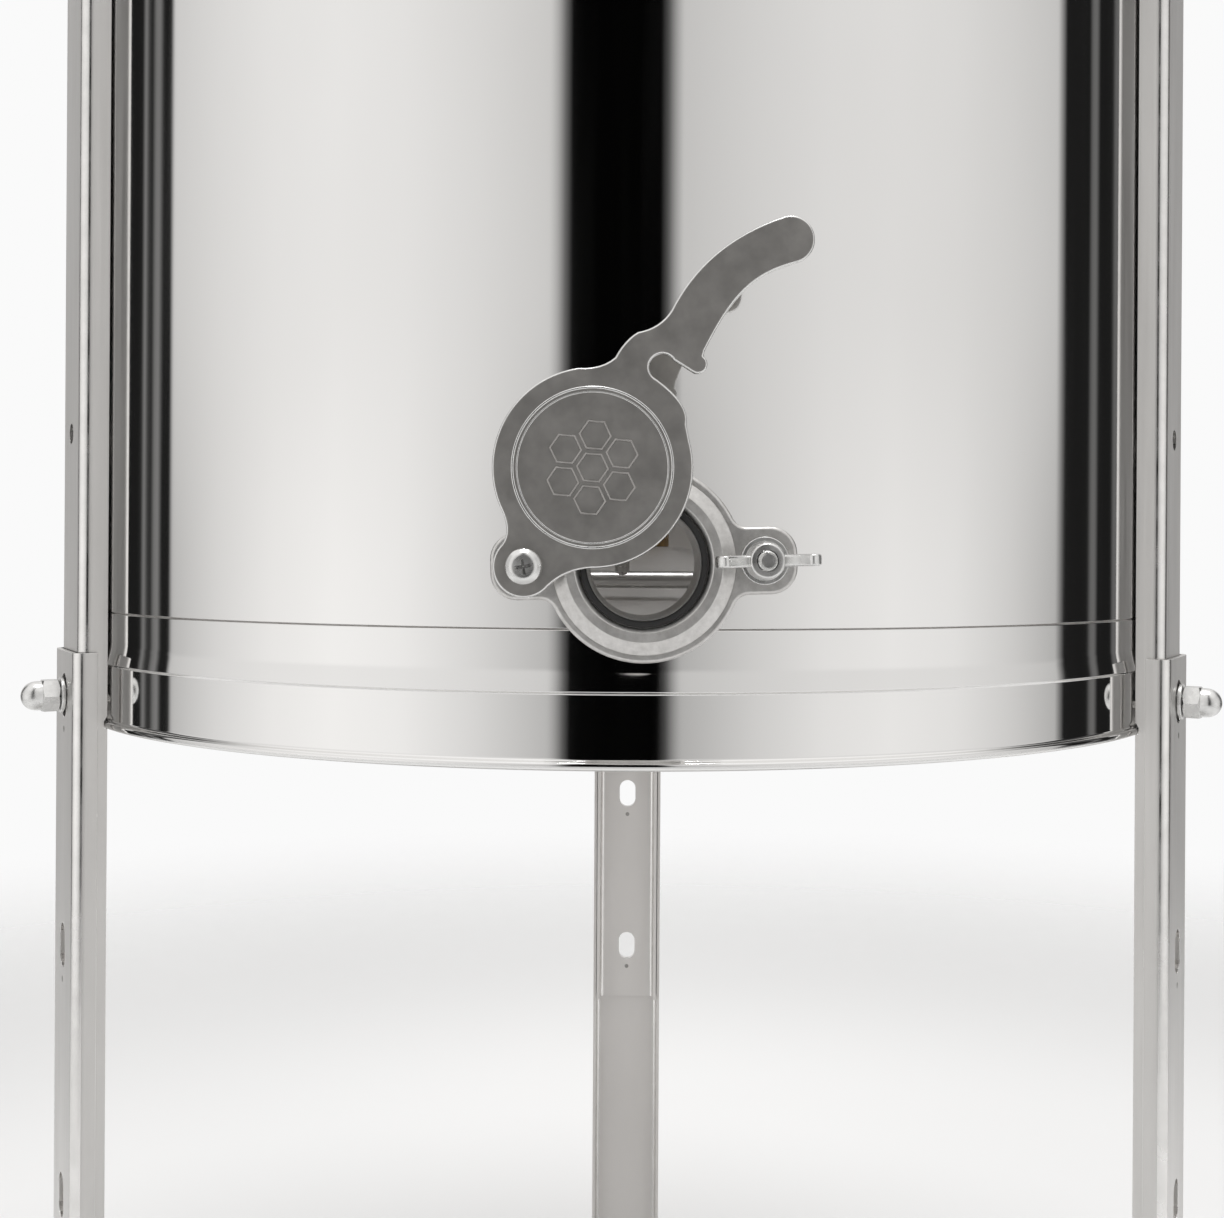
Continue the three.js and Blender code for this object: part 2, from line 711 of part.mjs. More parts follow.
function topBearing() {
  const bore = BASKET_SHAFT_RADIUS + 0.5;
  const seat = CROSSBAR_TOP + GAP;
  return turned([
    [bore, CROSSBAR_TOP - 12],
    [BASKET_SHAFT_RADIUS + 6, CROSSBAR_TOP - 12],
    [BASKET_SHAFT_RADIUS + 6, seat],
    [BASKET_SHAFT_RADIUS + 14, seat],
    [BASKET_SHAFT_RADIUS + 14, seat + 3],
    [bore, seat + 3],
  ], 16);
}

// A straight bevel gear with its cone apex at the origin and its body along +Z. Each tooth has four
// corners, drawn at the large end of the cone and drawn again, smaller, at the small end.
function bevelGear(teeth, otherTeeth, bore, phase) {
  const pitchRadius = teeth * GEAR_MODULE / 2;
  const pitchHeight = otherTeeth * GEAR_MODULE / 2;
  const cone = Math.hypot(pitchRadius, pitchHeight);
  const addendum = 0.85 * GEAR_MODULE;
  const dedendum = 1.2 * GEAR_MODULE;
  const flankSlope = Math.tan(THREE.MathUtils.degToRad(20));
  const halfTooth = 0.22 * Math.PI * GEAR_MODULE;
  const corners = [
    [-dedendum, -(halfTooth + dedendum * flankSlope)],
    [addendum, -(halfTooth - addendum * flankSlope)],
    [addendum, halfTooth - addendum * flankSlope],
    [-dedendum, halfTooth + dedendum * flankSlope],
  ];
  const toothRing = (scale) => {
    const points = [];
    for (let tooth = 0; tooth < teeth; tooth += 1) {
      for (const [height, offset] of corners) {
        const radius = pitchRadius + height * pitchHeight / cone;
        const angle = (tooth + phase) * 2 * Math.PI / teeth + offset / pitchRadius;
        points.push([
          scale * radius * Math.cos(angle),
          scale * radius * Math.sin(angle),
          scale * (pitchHeight - height * pitchRadius / cone),
        ]);
      }
    }
    return points;
  };
  const plainRing = (radius, z) => toothRing(1).map(([x, y]) => {
    const angle = Math.atan2(y, x);
    return [radius * Math.cos(angle), radius * Math.sin(angle), z];
  });
  const small = 1 - GEAR_FACE / cone;
  const backZ = pitchHeight + dedendum * pitchRadius / cone + 2.5;
  const frontZ = small * (pitchHeight - addendum * pitchRadius / cone);
  const rings = [plainRing(bore, backZ), toothRing(1), toothRing(small), plainRing(bore, frontZ)];
  const around = 4 * teeth;
  const triangles = [];
  rings.forEach((unused, i) => {
    const row = i * around;
    const nextRow = ((i + 1) % rings.length) * around;
    for (let j = 0; j < around; j += 1) {
      const next = (j + 1) % around;
      triangles.push(row + j, nextRow + j, row + next);
      triangles.push(row + next, nextRow + j, nextRow + next);
    }
  });
  const geometry = new THREE.BufferGeometry();
  geometry.setAttribute('position', new THREE.Float32BufferAttribute(rings.flat(2), 3));
  geometry.setIndex(triangles);
  return solid(geometry);
}

function crankArm() {
  const shape = new THREE.Shape();
  shape.absarc(0, 0, 15, 0, Math.PI);
  shape.absarc(0, -ARM_LENGTH, 11, Math.PI, 2 * Math.PI);
  shape.closePath();
  const bar = extruded(shape, ARM_X, ARM_X + ARM_THICKNESS, 6);
  return bar
    .subtract(cylinder(CRANK_SHAFT_RADIUS + GAP, ARM_X - 5, ARM_X + 20))
    .subtract(cylinder(GRIP_PIN_RADIUS + GAP, ARM_X - 5, ARM_X + 20, 16).translate([0, -ARM_LENGTH, 0]))
    .rotate([90, 0, 0])
    .rotate([0, 0, 90])
    .translate([0, 0, GEAR_AXIS_Z]);
}

function crankGrip() {
  const start = ARM_X + ARM_THICKNESS + 0.5;
  const end = start + GRIP_LENGTH;
  const bore = GRIP_PIN_RADIUS + 0.5;
  return turned([
    [bore, start],
    [GRIP_RADIUS - 3, start],
    [GRIP_RADIUS, start + 6],
    [GRIP_RADIUS - 2, start + GRIP_LENGTH / 2],
    [GRIP_RADIUS, end - 8],
    [GRIP_RADIUS - 4, end],
    [bore, end],
  ], 16).rotate(TO_X).translate([0, 0, GEAR_AXIS_Z - ARM_LENGTH]);
}

function crankGripPin() {
  const headRadius = 8;
  const grip = ARM_X + ARM_THICKNESS + 0.5 + GRIP_LENGTH;
  return turned([
    [0, ARM_X - 3.8],
    [headRadius, ARM_X - 3.8],
    [headRadius, ARM_X - GAP],
    [GRIP_PIN_RADIUS, ARM_X - GAP],
    [GRIP_PIN_RADIUS, grip + 0.5],
    [headRadius, grip + 0.5],
    [headRadius, CRANK_REACH],
    [0, CRANK_REACH],
  ], 16).rotate(TO_X).translate([0, 0, GEAR_AXIS_Z - ARM_LENGTH]);
}

function crankPillar() {
  const half = PILLAR_THICKNESS / 2;
  return box(PILLAR_X - half, PILLAR_X + half, -18, 18, CROSSBAR_TOP + GAP, GEAR_AXIS_Z + 18)
    .subtract(
      cylinder(CRANK_SHAFT_RADIUS + 0.5, PILLAR_X - 20, PILLAR_X + 20)
        .rotate(TO_X)
        .translate([0, 0, GEAR_AXIS_Z]),
    );
}

function driveTrain() {
  const drive = new THREE.Group();
  drive.add(piece('crossbar', crossbar(), 'brushed'));
  for (const [side, angle] of [['left', 90], ['right', -90]]) {
    const fixing = piece(
      `crossbar_rivet_${side}`,
      rivet(DRUM_INSIDE - 0.8, CROSSBAR_END + GAP, CROSSBAR_RIVET_Z),
      'zinc',
    );
    fixing.rotation.z = THREE.MathUtils.degToRad(angle);
    drive.add(fixing);
  }
  drive.add(piece('gear_housing', gearHousing(), 'brushed'));
  drive.add(piece('top_bearing', topBearing(), 'bronze'));
  drive.add(piece('crank_pillar', crankPillar(), 'cast'));

  const apex = [0, 0, GEAR_AXIS_Z];
  const crankGear = bevelGear(CRANK_TEETH, PINION_TEETH, CRANK_SHAFT_RADIUS + GAP, 0.5);
  const pinion = bevelGear(PINION_TEETH, CRANK_TEETH, BASKET_SHAFT_RADIUS + GAP, 0);
  drive.add(piece('crank_gear', crankGear.rotate([0, 90, 0]).translate(apex), 'cast'));
  drive.add(piece('pinion', pinion.rotate([180, 0, 0]).translate(apex), 'cast'));

  const shaft = cylinder(CRANK_SHAFT_RADIUS, HOUSING_LEFT - 6, ARM_X + ARM_THICKNESS + 4, 20);
  drive.add(piece('crank_shaft', shaft.rotate(TO_X).translate(apex), 'brushed'));
  drive.add(piece('crank_arm', crankArm(), 'brushed'));
  drive.add(piece('crank_grip_pin', crankGripPin(), 'zinc'));
  drive.add(piece('crank_grip', crankGrip(), 'grip'));
  return drive;
}

// ---- lids, drawn at the rear ----

function lid() {
  const start = Math.asin(HINGE_Y / LID_RADIUS);
  const shape = new THREE.Shape();
  shape.absarc(0, 0, LID_RADIUS, start, Math.PI - start);
  shape.closePath();
  const barrel = cylinder(HINGE_BARREL, -HINGE_HALF_LENGTH, HINGE_HALF_LENGTH, 12);
  const web = box(-HINGE_HALF_LENGTH, HINGE_HALF_LENGTH, HINGE_Y, HINGE_Y + 6, LID_BOTTOM, HINGE_Z);
  const bore = cylinder(HINGE_PIN + 0.5, -LUG_OUTER, LUG_OUTER, 12);
  let plate = extruded(shape, LID_BOTTOM, LID_BOTTOM + LID_SHEET, 15)
    .add(barrel.rotate(TO_X).translate([0, HINGE_Y, HINGE_Z]))
    .add(web)
    .subtract(bore.rotate(TO_X).translate([0, HINGE_Y, HINGE_Z]));
  for (const x of [-LUG_OUTER - 4, LUG_INNER - 2.5]) {
    const width = LUG_OUTER - LUG_INNER + 6.5;
    plate = plate.subtract(box(x, x + width, HINGE_Y - 5, HINGE_Y + 12, LID_BOTTOM - 5, HINGE_Z));
  }
  return plate;
}

function lidPin() {
  return cylinder(HINGE_PIN, -LUG_OUTER - 2, LUG_OUTER + 2, 12).rotate(TO_X).translate([0, HINGE_Y, HINGE_Z]);
}

function lidKnob() {
  const base = LID_BOTTOM + LID_SHEET + GAP;
  return turned([
    [0, base],
    [8, base],
    [5, base + 6],
    [9, base + 10],
    [10, base + 14],
    [7, base + 18],
    [0, base + 19],
  ], 16).translate([0, KNOB_Y, 0]);
}

function lids() {
  const all = new THREE.Group();
  for (const [side, angle] of [['rear', 0], ['front', Math.PI]]) {
    const half = new THREE.Group();
    half.add(piece(`lid_${side}`, lid(), 'acrylic'));
    half.add(piece(`lid_pin_${side}`, lidPin(), 'zinc'));
    half.add(piece(`lid_knob_${side}`, lidKnob(), 'grip'));
    half.rotation.z = angle;
    all.add(half);
  }
  return all;
}

// ---- basket ----

function basketCage() {
  const half = CAGE_HALF;
  const corners = [[half, half], [-half, half], [-half, -half], [half, -half]];
  const rods = [];
  corners.forEach(([x, y], i) => {
    const [nextX, nextY] = corners[(i + 1) % corners.length];
    rods.push(rod([x, y, CAGE_BOTTOM], [x, y, CAGE_TOP], CAGE_ROD));
    const middle = [(x + nextX) / 2, (y + nextY) / 2];
    rods.push(rod([...middle, CAGE_BOTTOM], [...middle, CAGE_TOP], CAGE_ROD - 1, 4));
    for (const z of [CAGE_BOTTOM, (CAGE_BOTTOM + CAGE_TOP) / 2, CAGE_TOP]) {
      rods.push(rod([x, y, z], [nextX, nextY, z], CAGE_ROD - 0.5, 5));
    }
    for (const z of [SPIDER_BOTTOM, CAGE_TOP]) {
      rods.push(rod([0, 0, z], [x, y, z], CAGE_ROD - 0.2, 5));
    }
  });
  for (const z of [SPIDER_BOTTOM, CAGE_TOP]) {
    rods.push(cylinder(HUB_RADIUS, z - HUB_HEIGHT / 2, z + HUB_HEIGHT / 2, 20));
  }
  return union(rods).subtract(cylinder(BASKET_SHAFT_RADIUS + GAP, CAGE_BOTTOM, CAGE_TOP + 20));
}

function basketScreen() {
  const half = SCREEN_WIDTH / 2;
  const bottom = SPIDER_BOTTOM + 12;
  const top = CAGE_TOP - 12;
  const rim = 5;
  const columns = 2;
  const rows = 4;
  const columnPitch = (SCREEN_WIDTH - rim) / columns;
  const rowPitch = (top - bottom - rim) / rows;
  const inside = SCREEN_DISTANCE - SCREEN_SHEET;
  let sheet = box(-half, half, inside, SCREEN_DISTANCE, bottom, top);
  for (let column = 0; column < columns; column += 1) {
    for (let row = 0; row < rows; row += 1) {
      const x = -half + rim + column * columnPitch;
      const z = bottom + rim + row * rowPitch;
      sheet = sheet.subtract(box(
        x, x + columnPitch - rim,
        inside - 1, SCREEN_DISTANCE + 1,
        z, z + rowPitch - rim,
      ));
    }
  }
  return sheet;
}

function basket() {
  const all = new THREE.Group();
  all.add(piece('basket_shaft', cylinder(BASKET_SHAFT_RADIUS, SHAFT_BOTTOM, SHAFT_TOP, 20), 'brushed'));
  all.add(piece('basket_cage', basketCage(), 'brushed'));
  for (let side = 1; side <= 4; side += 1) {
    const screen = piece(`basket_screen_${side}`, basketScreen(), 'brushed');
    screen.rotation.z = side * Math.PI / 2;
    all.add(screen);
  }
  return all;
}

// ---- assembly ----

const extractor = new THREE.Group();
extractor.add(piece('drum_wall', drumWall(), 'polished'));
extractor.add(piece('tank_ring', tankRing(), 'polished'));
extractor.add(piece('tank_floor', tankFloor(), 'brushed'));
extractor.add(piece('bottom_bearing', bottomBearing(), 'bronze'));
extractor.add(legs(), honeyGate(), driveTrain(), lids(), basket());
extractor.position.set(
  (CROSSBAR_REACH - CRANK_REACH) / 2,
  (FRONT_REACH - REAR_REACH) / 2,
  0,
);

const part = new THREE.Group();
part.add(extractor);

export default part;
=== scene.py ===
"""The honey extractor's visual model: a mirror-polished drum on channel legs, with its honey gate,
crossbar drive, half lids and frame basket, in a plain studio. Shapes are drawn in millimetres
about the drum axis, or about a piece's own centre, and placed in the frame's metres."""
import json
import math

import bmesh
import bpy
from mathutils import Matrix, Vector


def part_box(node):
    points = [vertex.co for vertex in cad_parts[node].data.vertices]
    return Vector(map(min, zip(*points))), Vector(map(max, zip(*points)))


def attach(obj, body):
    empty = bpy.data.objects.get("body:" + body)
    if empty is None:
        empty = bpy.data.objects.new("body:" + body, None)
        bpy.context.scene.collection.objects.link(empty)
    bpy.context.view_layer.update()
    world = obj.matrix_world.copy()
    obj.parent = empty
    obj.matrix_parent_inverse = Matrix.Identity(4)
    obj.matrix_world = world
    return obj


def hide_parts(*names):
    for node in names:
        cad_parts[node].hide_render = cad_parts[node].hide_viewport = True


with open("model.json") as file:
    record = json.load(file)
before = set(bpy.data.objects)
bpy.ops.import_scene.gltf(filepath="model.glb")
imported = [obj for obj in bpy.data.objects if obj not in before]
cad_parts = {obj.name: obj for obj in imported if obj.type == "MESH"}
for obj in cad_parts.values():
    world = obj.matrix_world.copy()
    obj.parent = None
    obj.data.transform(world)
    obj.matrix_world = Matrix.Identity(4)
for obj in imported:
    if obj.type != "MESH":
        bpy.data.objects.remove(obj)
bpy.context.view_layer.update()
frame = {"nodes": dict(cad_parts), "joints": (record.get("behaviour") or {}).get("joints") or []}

MM = 0.001


# ---- places, all in millimetres ----

def corners_of(node):
    low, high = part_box(node)
    return low / MM, high / MM


def centre_of(node):
    low, high = corners_of(node)
    return (low + high) / 2


def joint_place(name):
    return Vector(next(j["pos_m"] for j in frame["joints"] if j["name"] == name)) / MM


WALL_LOW, WALL_HIGH = corners_of("drum_wall")
AXIS = centre_of("tank_floor")
DRUM_RADIUS = 260
SHEET = 1.2
DRUM_INSIDE = DRUM_RADIUS - SHEET
SEAM_Z = WALL_LOW.z - 0.35
DRUM_BOTTOM = corners_of("tank_ring")[0].z
DRUM_TOP = WALL_HIGH.z
RIDGE_Z = 477.5
RIDGE_RADIUS = 261
HEM_RADIUS = 262.4
GEAR_AXIS_Z = joint_place("crank_spin").z

DRUM = Matrix.Translation((AXIS.x, AXIS.y, 0))
LEG_ANGLES = {"rear": -1, "left": 120, "right": 240}
LEGS = {side: DRUM @ Matrix.Rotation(math.radians(a), 4, "Z") for side, a in LEG_ANGLES.items()}
OUTWARD = Matrix.Rotation(math.radians(-90), 4, "X")
ALONG_X = Matrix.Rotation(math.radians(90), 4, "Y")
GATE_CENTRE = centre_of("gate_seal")
PIVOT_PLACE = joint_place("gate_cover_swing")
STUD_PLACE = joint_place("gate_nut_turn")
ACROSS = STUD_PLACE - PIVOT_PLACE
EAR_OFFSET = math.hypot(ACROSS.x, ACROSS.z) / 2
TILT = Matrix.Rotation(math.atan2(ACROSS.z, ACROSS.x), 4, "Z")
TO_FRONT = Matrix.Rotation(math.radians(90), 4, "X") @ TILT
GATE = Matrix.Translation((GATE_CENTRE.x, AXIS.y, GATE_CENTRE.z)) @ TO_FRONT
PIVOT = Matrix.Translation((PIVOT_PLACE.x, AXIS.y, PIVOT_PLACE.z)) @ TO_FRONT
CLAMP = Matrix.Translation((STUD_PLACE.x, AXIS.y, STUD_PLACE.z)) @ TO_FRONT
COVER_REST_ANGLE = 53.8
COVER = PIVOT @ Matrix.Rotation(math.radians(COVER_REST_ANGLE), 4, "Z")


# ---- mesh helpers ----

def lined(obj, material, radius):
    """Gives another material to the faces nearer to the drum axis than radius millimetres."""
    obj.data.materials.append(material)
    for polygon in obj.data.polygons:
        away = polygon.center / MM - AXIS
        if math.hypot(away.x, away.y) < radius:
            polygon.material_index = 1


def faced(obj, material, direction):
    """Gives another material to the faces that look along direction."""
    obj.data.materials.append(material)
    for polygon in obj.data.polygons:
        if polygon.normal.dot(direction) > 0.97:
            polygon.material_index = len(obj.data.materials) - 1


def edged(obj, material, *axes):
    """Gives another material to the faces that look along none of the axes, which on the legs and the gate
    cover paints a highlight along the rounded edges.
    """
    obj.data.materials.append(material)
    for polygon in obj.data.polygons:
        if all(abs(polygon.normal.dot(axis)) < 0.97 for axis in axes):
            polygon.material_index = 1


def finished(obj, body, material, replaces=(), sharp=32):
    mesh = obj.data
    for polygon in mesh.polygons:
        polygon.use_smooth = True
    mesh.set_sharp_from_angle(angle=math.radians(sharp))
    shade = obj.modifiers.new("shade", "WEIGHTED_NORMAL")
    shade.keep_sharp = True
    mesh.materials.clear()
    mesh.materials.append(material)
    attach(obj, body)
    if replaces:
        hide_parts(*replaces)
    return obj


def linked(name, mesh):
    obj = bpy.data.objects.new(name, mesh)
    bpy.context.scene.collection.objects.link(obj)
    return obj


def mesh_object(name, points, faces, place=None):
    """A mesh from points in millimetres, moved by place, with its faces pointing out."""
    mesh = bpy.data.meshes.new(name)
    matrix = Matrix.Scale(MM, 4) @ (place or DRUM)
    mesh.from_pydata([matrix @ Vector(p) for p in points], [], faces)
    work = bmesh.new()
    work.from_mesh(mesh)
    bmesh.ops.remove_doubles(work, verts=work.verts, dist=1e-7)
    bmesh.ops.recalc_face_normals(work, faces=work.faces)
    work.to_mesh(mesh)
    work.free()
    return linked(name, mesh)


def applied(obj):
    """Turns obj's modifiers into its mesh."""
    depsgraph = bpy.context.evaluated_depsgraph_get()
    shaped = bpy.data.meshes.new_from_object(obj.evaluated_get(depsgraph))
    obj.modifiers.clear()
    old = obj.data
    obj.data = shaped
    bpy.data.meshes.remove(old)
    return obj


def cut(obj, *tools, operation="DIFFERENCE"):
    """Cuts each tool out of obj, or joins it on, and removes the tool."""
    for tool in tools:
        step = obj.modifiers.new("cut", "BOOLEAN")
        step.operation = operation
        step.solver = "EXACT"
        step.object = tool
        applied(obj)
        bpy.data.objects.remove(tool)
    return obj


def bevelled(obj, width=0.4, segments=3, angle=35):
    """Rounds obj's sharp edges by width millimetres."""
    step = obj.modifiers.new("edges", "BEVEL")
    step.width = width * MM
    step.segments = segments
    step.limit_method = "ANGLE"
    step.angle_limit = math.radians(angle)
    step.use_clamp_overlap = True
    return applied(obj)


def arc(x, y, radius, start, end, steps):
    """Points on an arc about (x, y), from start to end degrees."""
    points = []
    for i in range(steps + 1):
        turn = math.radians(start + (end - start) * i / steps)
        points.append((x + radius * math.cos(turn), y + radius * math.sin(turn)))
    return points


def rounded(corners, steps=5, closed=True):
    """A polygon with each (x, y, radius) corner turned into an arc."""
    points = []
    count = len(corners)
    for i, (x, y, radius) in enumerate(corners):
        here = Vector((x, y))
        ends = not closed and i in (0, count - 1)
        if radius <= 0 or ends:
            points.append((x, y))
            continue
        before = (Vector(corners[i - 1][:2]) - here).normalized()
        after = (Vector(corners[(i + 1) % count][:2]) - here).normalized()
        half = before.angle(after) / 2
        reach = radius / math.tan(half)
        middle = (before + after).normalized() * (radius / math.sin(half))
        centre = here + middle
        start = here + before * reach - centre
        end = here + after * reach - centre
        sweep = start.angle_signed(end)
        for j in range(steps + 1):
            spoke = start.copy()
            spoke.rotate(Matrix.Rotation(-sweep * j / steps, 2))
            points.append(tuple(centre + spoke))
    return points


def bezier(p0, p1, p2, p3, steps):
    """Points along a cubic curve, without its first point."""
    points = []
    for i in range(1, steps + 1):
        t = i / steps
        weights = ((1 - t) ** 3, 3 * t * (1 - t) ** 2, 3 * t * t * (1 - t), t ** 3)
        points.append(tuple(sum(w * p[k] for w, p in zip(weights, (p0, p1, p2, p3))) for k in (0, 1)))
    return points


def quadratic(p0, p1, p2, steps):
    """Points along a quadratic curve, without its first point."""
    points = []
    for i in range(1, steps + 1):
        t = i / steps
        weights = ((1 - t) ** 2, 2 * t * (1 - t), t * t)
        points.append(tuple(sum(w * p[k] for w, p in zip(weights, (p0, p1, p2))) for k in (0, 1)))
    return points


def lathe(name, profile, place=None, segments=96):
    """Turns a closed (radius, height) profile about Z. Radius 0 is the axis."""
    points = []
    for i in range(segments):
        turn = 2 * math.pi * i / segments
        for radius, z in profile:
            points.append((radius * math.cos(turn), radius * math.sin(turn), z))
    count = len(profile)
    faces = []
    for i in range(segments):
        here = i * count
        beyond = ((i + 1) % segments) * count
        for j in range(count):
            k = (j + 1) % count
            on_axis = profile[j][0] == 0, profile[k][0] == 0
            if all(on_axis):
                continue
            if on_axis[0]:
                faces.append((here + j, beyond + k, here + k))
            elif on_axis[1]:
                faces.append((here + j, beyond + j, here + k))
            else:
                faces.append((here + j, beyond + j, beyond + k, here + k))
    return mesh_object(name, points, faces, place)


def prism(name, outline, low, high, place=None):
    """A flat plate: outline in x and y, from low to high in z."""
    count = len(outline)
    points = [(x, y, low) for x, y in outline] + [(x, y, high) for x, y in outline]
    faces = [tuple(range(count)), tuple(range(count, 2 * count))]
    for i in range(count):
        j = (i + 1) % count
        faces.append((i, j, count + j, count + i))
    return mesh_object(name, points, faces, place)


def drill(radius, low, high, place=None, x=0, y=0, sides=48):
    return prism("drill", arc(x, y, radius, 0, 360 - 360 / sides, sides - 1), low, high, place)


def block(low, high, place=None):
    outline = [(low[0], low[1]), (high[0], low[1]), (high[0], high[1]), (low[0], high[1])]
    return prism("block", outline, low[2], high[2], place)


def swept(name, path, radius, place=None, closed=True, sides=8):
    """A round bar along a path of 3-D points."""
    count = len(path)
    points = []
    route = [Vector(p) for p in path]
    for i, here in enumerate(route):
        back = route[i - 1] if closed or i else here
        ahead = route[(i + 1) % count] if closed or i < count - 1 else here
        along = (ahead - back).normalized()
        side = along.cross(Vector((0, 0, 1)))
        if side.length < 1e-3:
            side = along.cross(Vector((0, 1, 0)))
        side.normalize()
        up = side.cross(along)
        for j in range(sides):
            turn = 2 * math.pi * j / sides
            points.append(here + side * radius * math.cos(turn) + up * radius * math.sin(turn))
    faces = []
    for i in range(count if closed else count - 1):
        here = i * sides
        beyond = ((i + 1) % count) * sides
        for j in range(sides):
            k = (j + 1) % sides
            faces.append((here + j, here + k, beyond + k, beyond + j))
    if not closed:
        faces.append(tuple(range(sides)))
        faces.append(tuple(range((count - 1) * sides, count * sides)))
    return mesh_object(name, points, faces, place)


def joined(name, objects):
    """One object from several separate shells."""
    work = bmesh.new()
    for obj in objects:
        work.from_mesh(obj.data)
        bpy.data.objects.remove(obj)
    mesh = bpy.data.meshes.new(name)
    work.to_mesh(mesh)
    work.free()
    return linked(name, mesh)


# ---- materials ----

class Surface:
    """A node material built step by step."""

    def __init__(self, name, roughness, metallic=1.0):
        self.material = bpy.data.materials.new(name)
        self.material.use_nodes = True
        self.nodes = self.material.node_tree.nodes
        self.links = self.material.node_tree.links
        self.shader = self.nodes["Principled BSDF"]
        self.shader.inputs["Metallic"].default_value = metallic
        self.shader.inputs["Roughness"].default_value = roughness
        self.coordinates = self.nodes.new("ShaderNodeTexCoord").outputs["Object"]
        self.height = None

    def noise(self, scale, stretch=(1, 1, 1), detail=3.0, roughness=0.5):
        """Noise over object space in metres. A small stretch draws the grain out along that axis."""
        mapping = self.nodes.new("ShaderNodeMapping")
        mapping.inputs["Scale"].default_value = stretch
        texture = self.nodes.new("ShaderNodeTexNoise")
        texture.inputs["Scale"].default_value = scale
        texture.inputs["Detail"].default_value = detail
        texture.inputs["Roughness"].default_value = roughness
        self.links.new(self.coordinates, mapping.inputs["Vector"])
        self.links.new(mapping.outputs["Vector"], texture.inputs["Vector"])
        return texture.outputs["Fac"]

    def ramp(self, value, stops):
        """Maps value through (position, grey or colour) stops."""
        node = self.nodes.new("ShaderNodeValToRGB")
        elements = node.color_ramp.elements
        while len(elements) < len(stops):
            elements.new(0.5)
        for element, (position, colour) in zip(elements, stops):
            element.position = position
            shade = (colour,) * 3 if isinstance(colour, (int, float)) else colour
            element.color = (*shade, 1)
        self.links.new(value, node.inputs["Fac"])
        return node.outputs["Color"]

    def colour(self, value):
        self.links.new(value, self.shader.inputs["Base Color"])

    def roughness(self, value):
        self.links.new(value, self.shader.inputs["Roughness"])

    def bump(self, value, distance, strength=1.0):
        """Adds relief of that many millimetres on top of what is there."""
        node = self.nodes.new("ShaderNodeBump")
        node.inputs["Distance"].default_value = distance * MM
        node.inputs["Strength"].default_value = strength
        self.links.new(value, node.inputs["Height"])
        if self.height is not None:
            self.links.new(self.height, node.inputs["Normal"])
        self.height = node.outputs["Normal"]
        self.links.new(self.height, self.shader.inputs["Normal"])


def mirror_steel():
    """Drawn, mirror-polished stainless sheet with a faint cloudiness and a slow wave."""
    steel = Surface("mirror_steel", 0.05)
    cloud = steel.noise(9, (1, 1, 0.5), detail=4)
    steel.colour(steel.ramp(cloud, [(0.25, (0.84, 0.835, 0.825)), (0.75, (0.88, 0.877, 0.87))]))
    smear = steel.noise(160, (1, 1, 0.03), detail=2)
    steel.roughness(steel.ramp(smear, [(0.3, 0.035), (0.75, 0.075)]))
    steel.bump(steel.noise(5, (1, 1, 0.35), detail=1), 0.25, 0.35)
    return steel.material


def inside_steel():
    """The drum's inside and floor: rolled sheet with a dull, pale finish."""
    steel = Surface("inside_steel", 0.35, metallic=0.3)
    cloud = steel.noise(12, (1, 1, 0.5), detail=4)
    steel.colour(steel.ramp(cloud, [(0.3, (0.77, 0.75, 0.73)), (0.7, (0.85, 0.83, 0.81))]))
    steel.roughness(steel.ramp(steel.noise(200, (1, 1, 0.05), detail=2), [(0.3, 0.28), (0.75, 0.42)]))
    steel.bump(steel.noise(6, detail=1), 0.3, 0.3)
    return steel.material


def satin_steel():
    """Polished and then handled sheet of the legs, with a grain drawn along them."""
    steel = Surface("satin_steel", 0.25)
    cloud = steel.noise(30, (1, 1, 0.25), detail=5)
    steel.colour(steel.ramp(cloud, [(0.3, (0.60, 0.59, 0.575)), (0.7, (0.70, 0.69, 0.675))]))
    grain = steel.noise(900, (1, 1, 0.012), detail=2)
    steel.roughness(steel.ramp(grain, [(0.25, 0.3), (0.75, 0.42)]))
    steel.bump(grain, 0.02, 0.25)
    steel.bump(steel.noise(14, (1, 1, 0.3), detail=1), 0.12, 0.3)
    return steel.material


def mottled_steel(name, mottle, dark, pale, gloss, relief):
    """Plate and castings: a fine mottle, and a gloss that varies from place to place."""
    steel = Surface(name, 0.3)
    grain = steel.noise(**mottle)
    steel.colour(steel.ramp(grain, [(0.3, dark), (0.7, pale)]))
    scale, detail, low, high = gloss
    steel.roughness(steel.ramp(steel.noise(scale, detail=detail), [(0.3, low), (0.7, high)]))
    steel.bump(grain, *relief)
    return steel.material


def brushed_steel():
    """Brushed stainless sheet and bar of the crossbar, housing and basket."""
    steel = Surface("brushed_steel", 0.3)
    cloud = steel.noise(20, detail=4)
    steel.colour(steel.ramp(cloud, [(0.3, (0.60, 0.595, 0.585)), (0.7, (0.68, 0.675, 0.665))]))
    grain = steel.noise(700, (0.02, 1, 1), detail=2)
    steel.roughness(steel.ramp(grain, [(0.25, 0.2), (0.75, 0.38)]))
    steel.bump(grain, 0.02, 0.3)
    return steel.material


def bronze():
    metal = Surface("bronze", 0.35)
    mottle = metal.noise(200, detail=4)
    metal.colour(metal.ramp(mottle, [(0.3, (0.42, 0.27, 0.12)), (0.7, (0.58, 0.39, 0.18))]))
    metal.roughness(metal.ramp(mottle, [(0.3, 0.25), (0.7, 0.45)]))
    metal.bump(metal.noise(900, detail=2), 0.02, 0.3)
    return metal.material


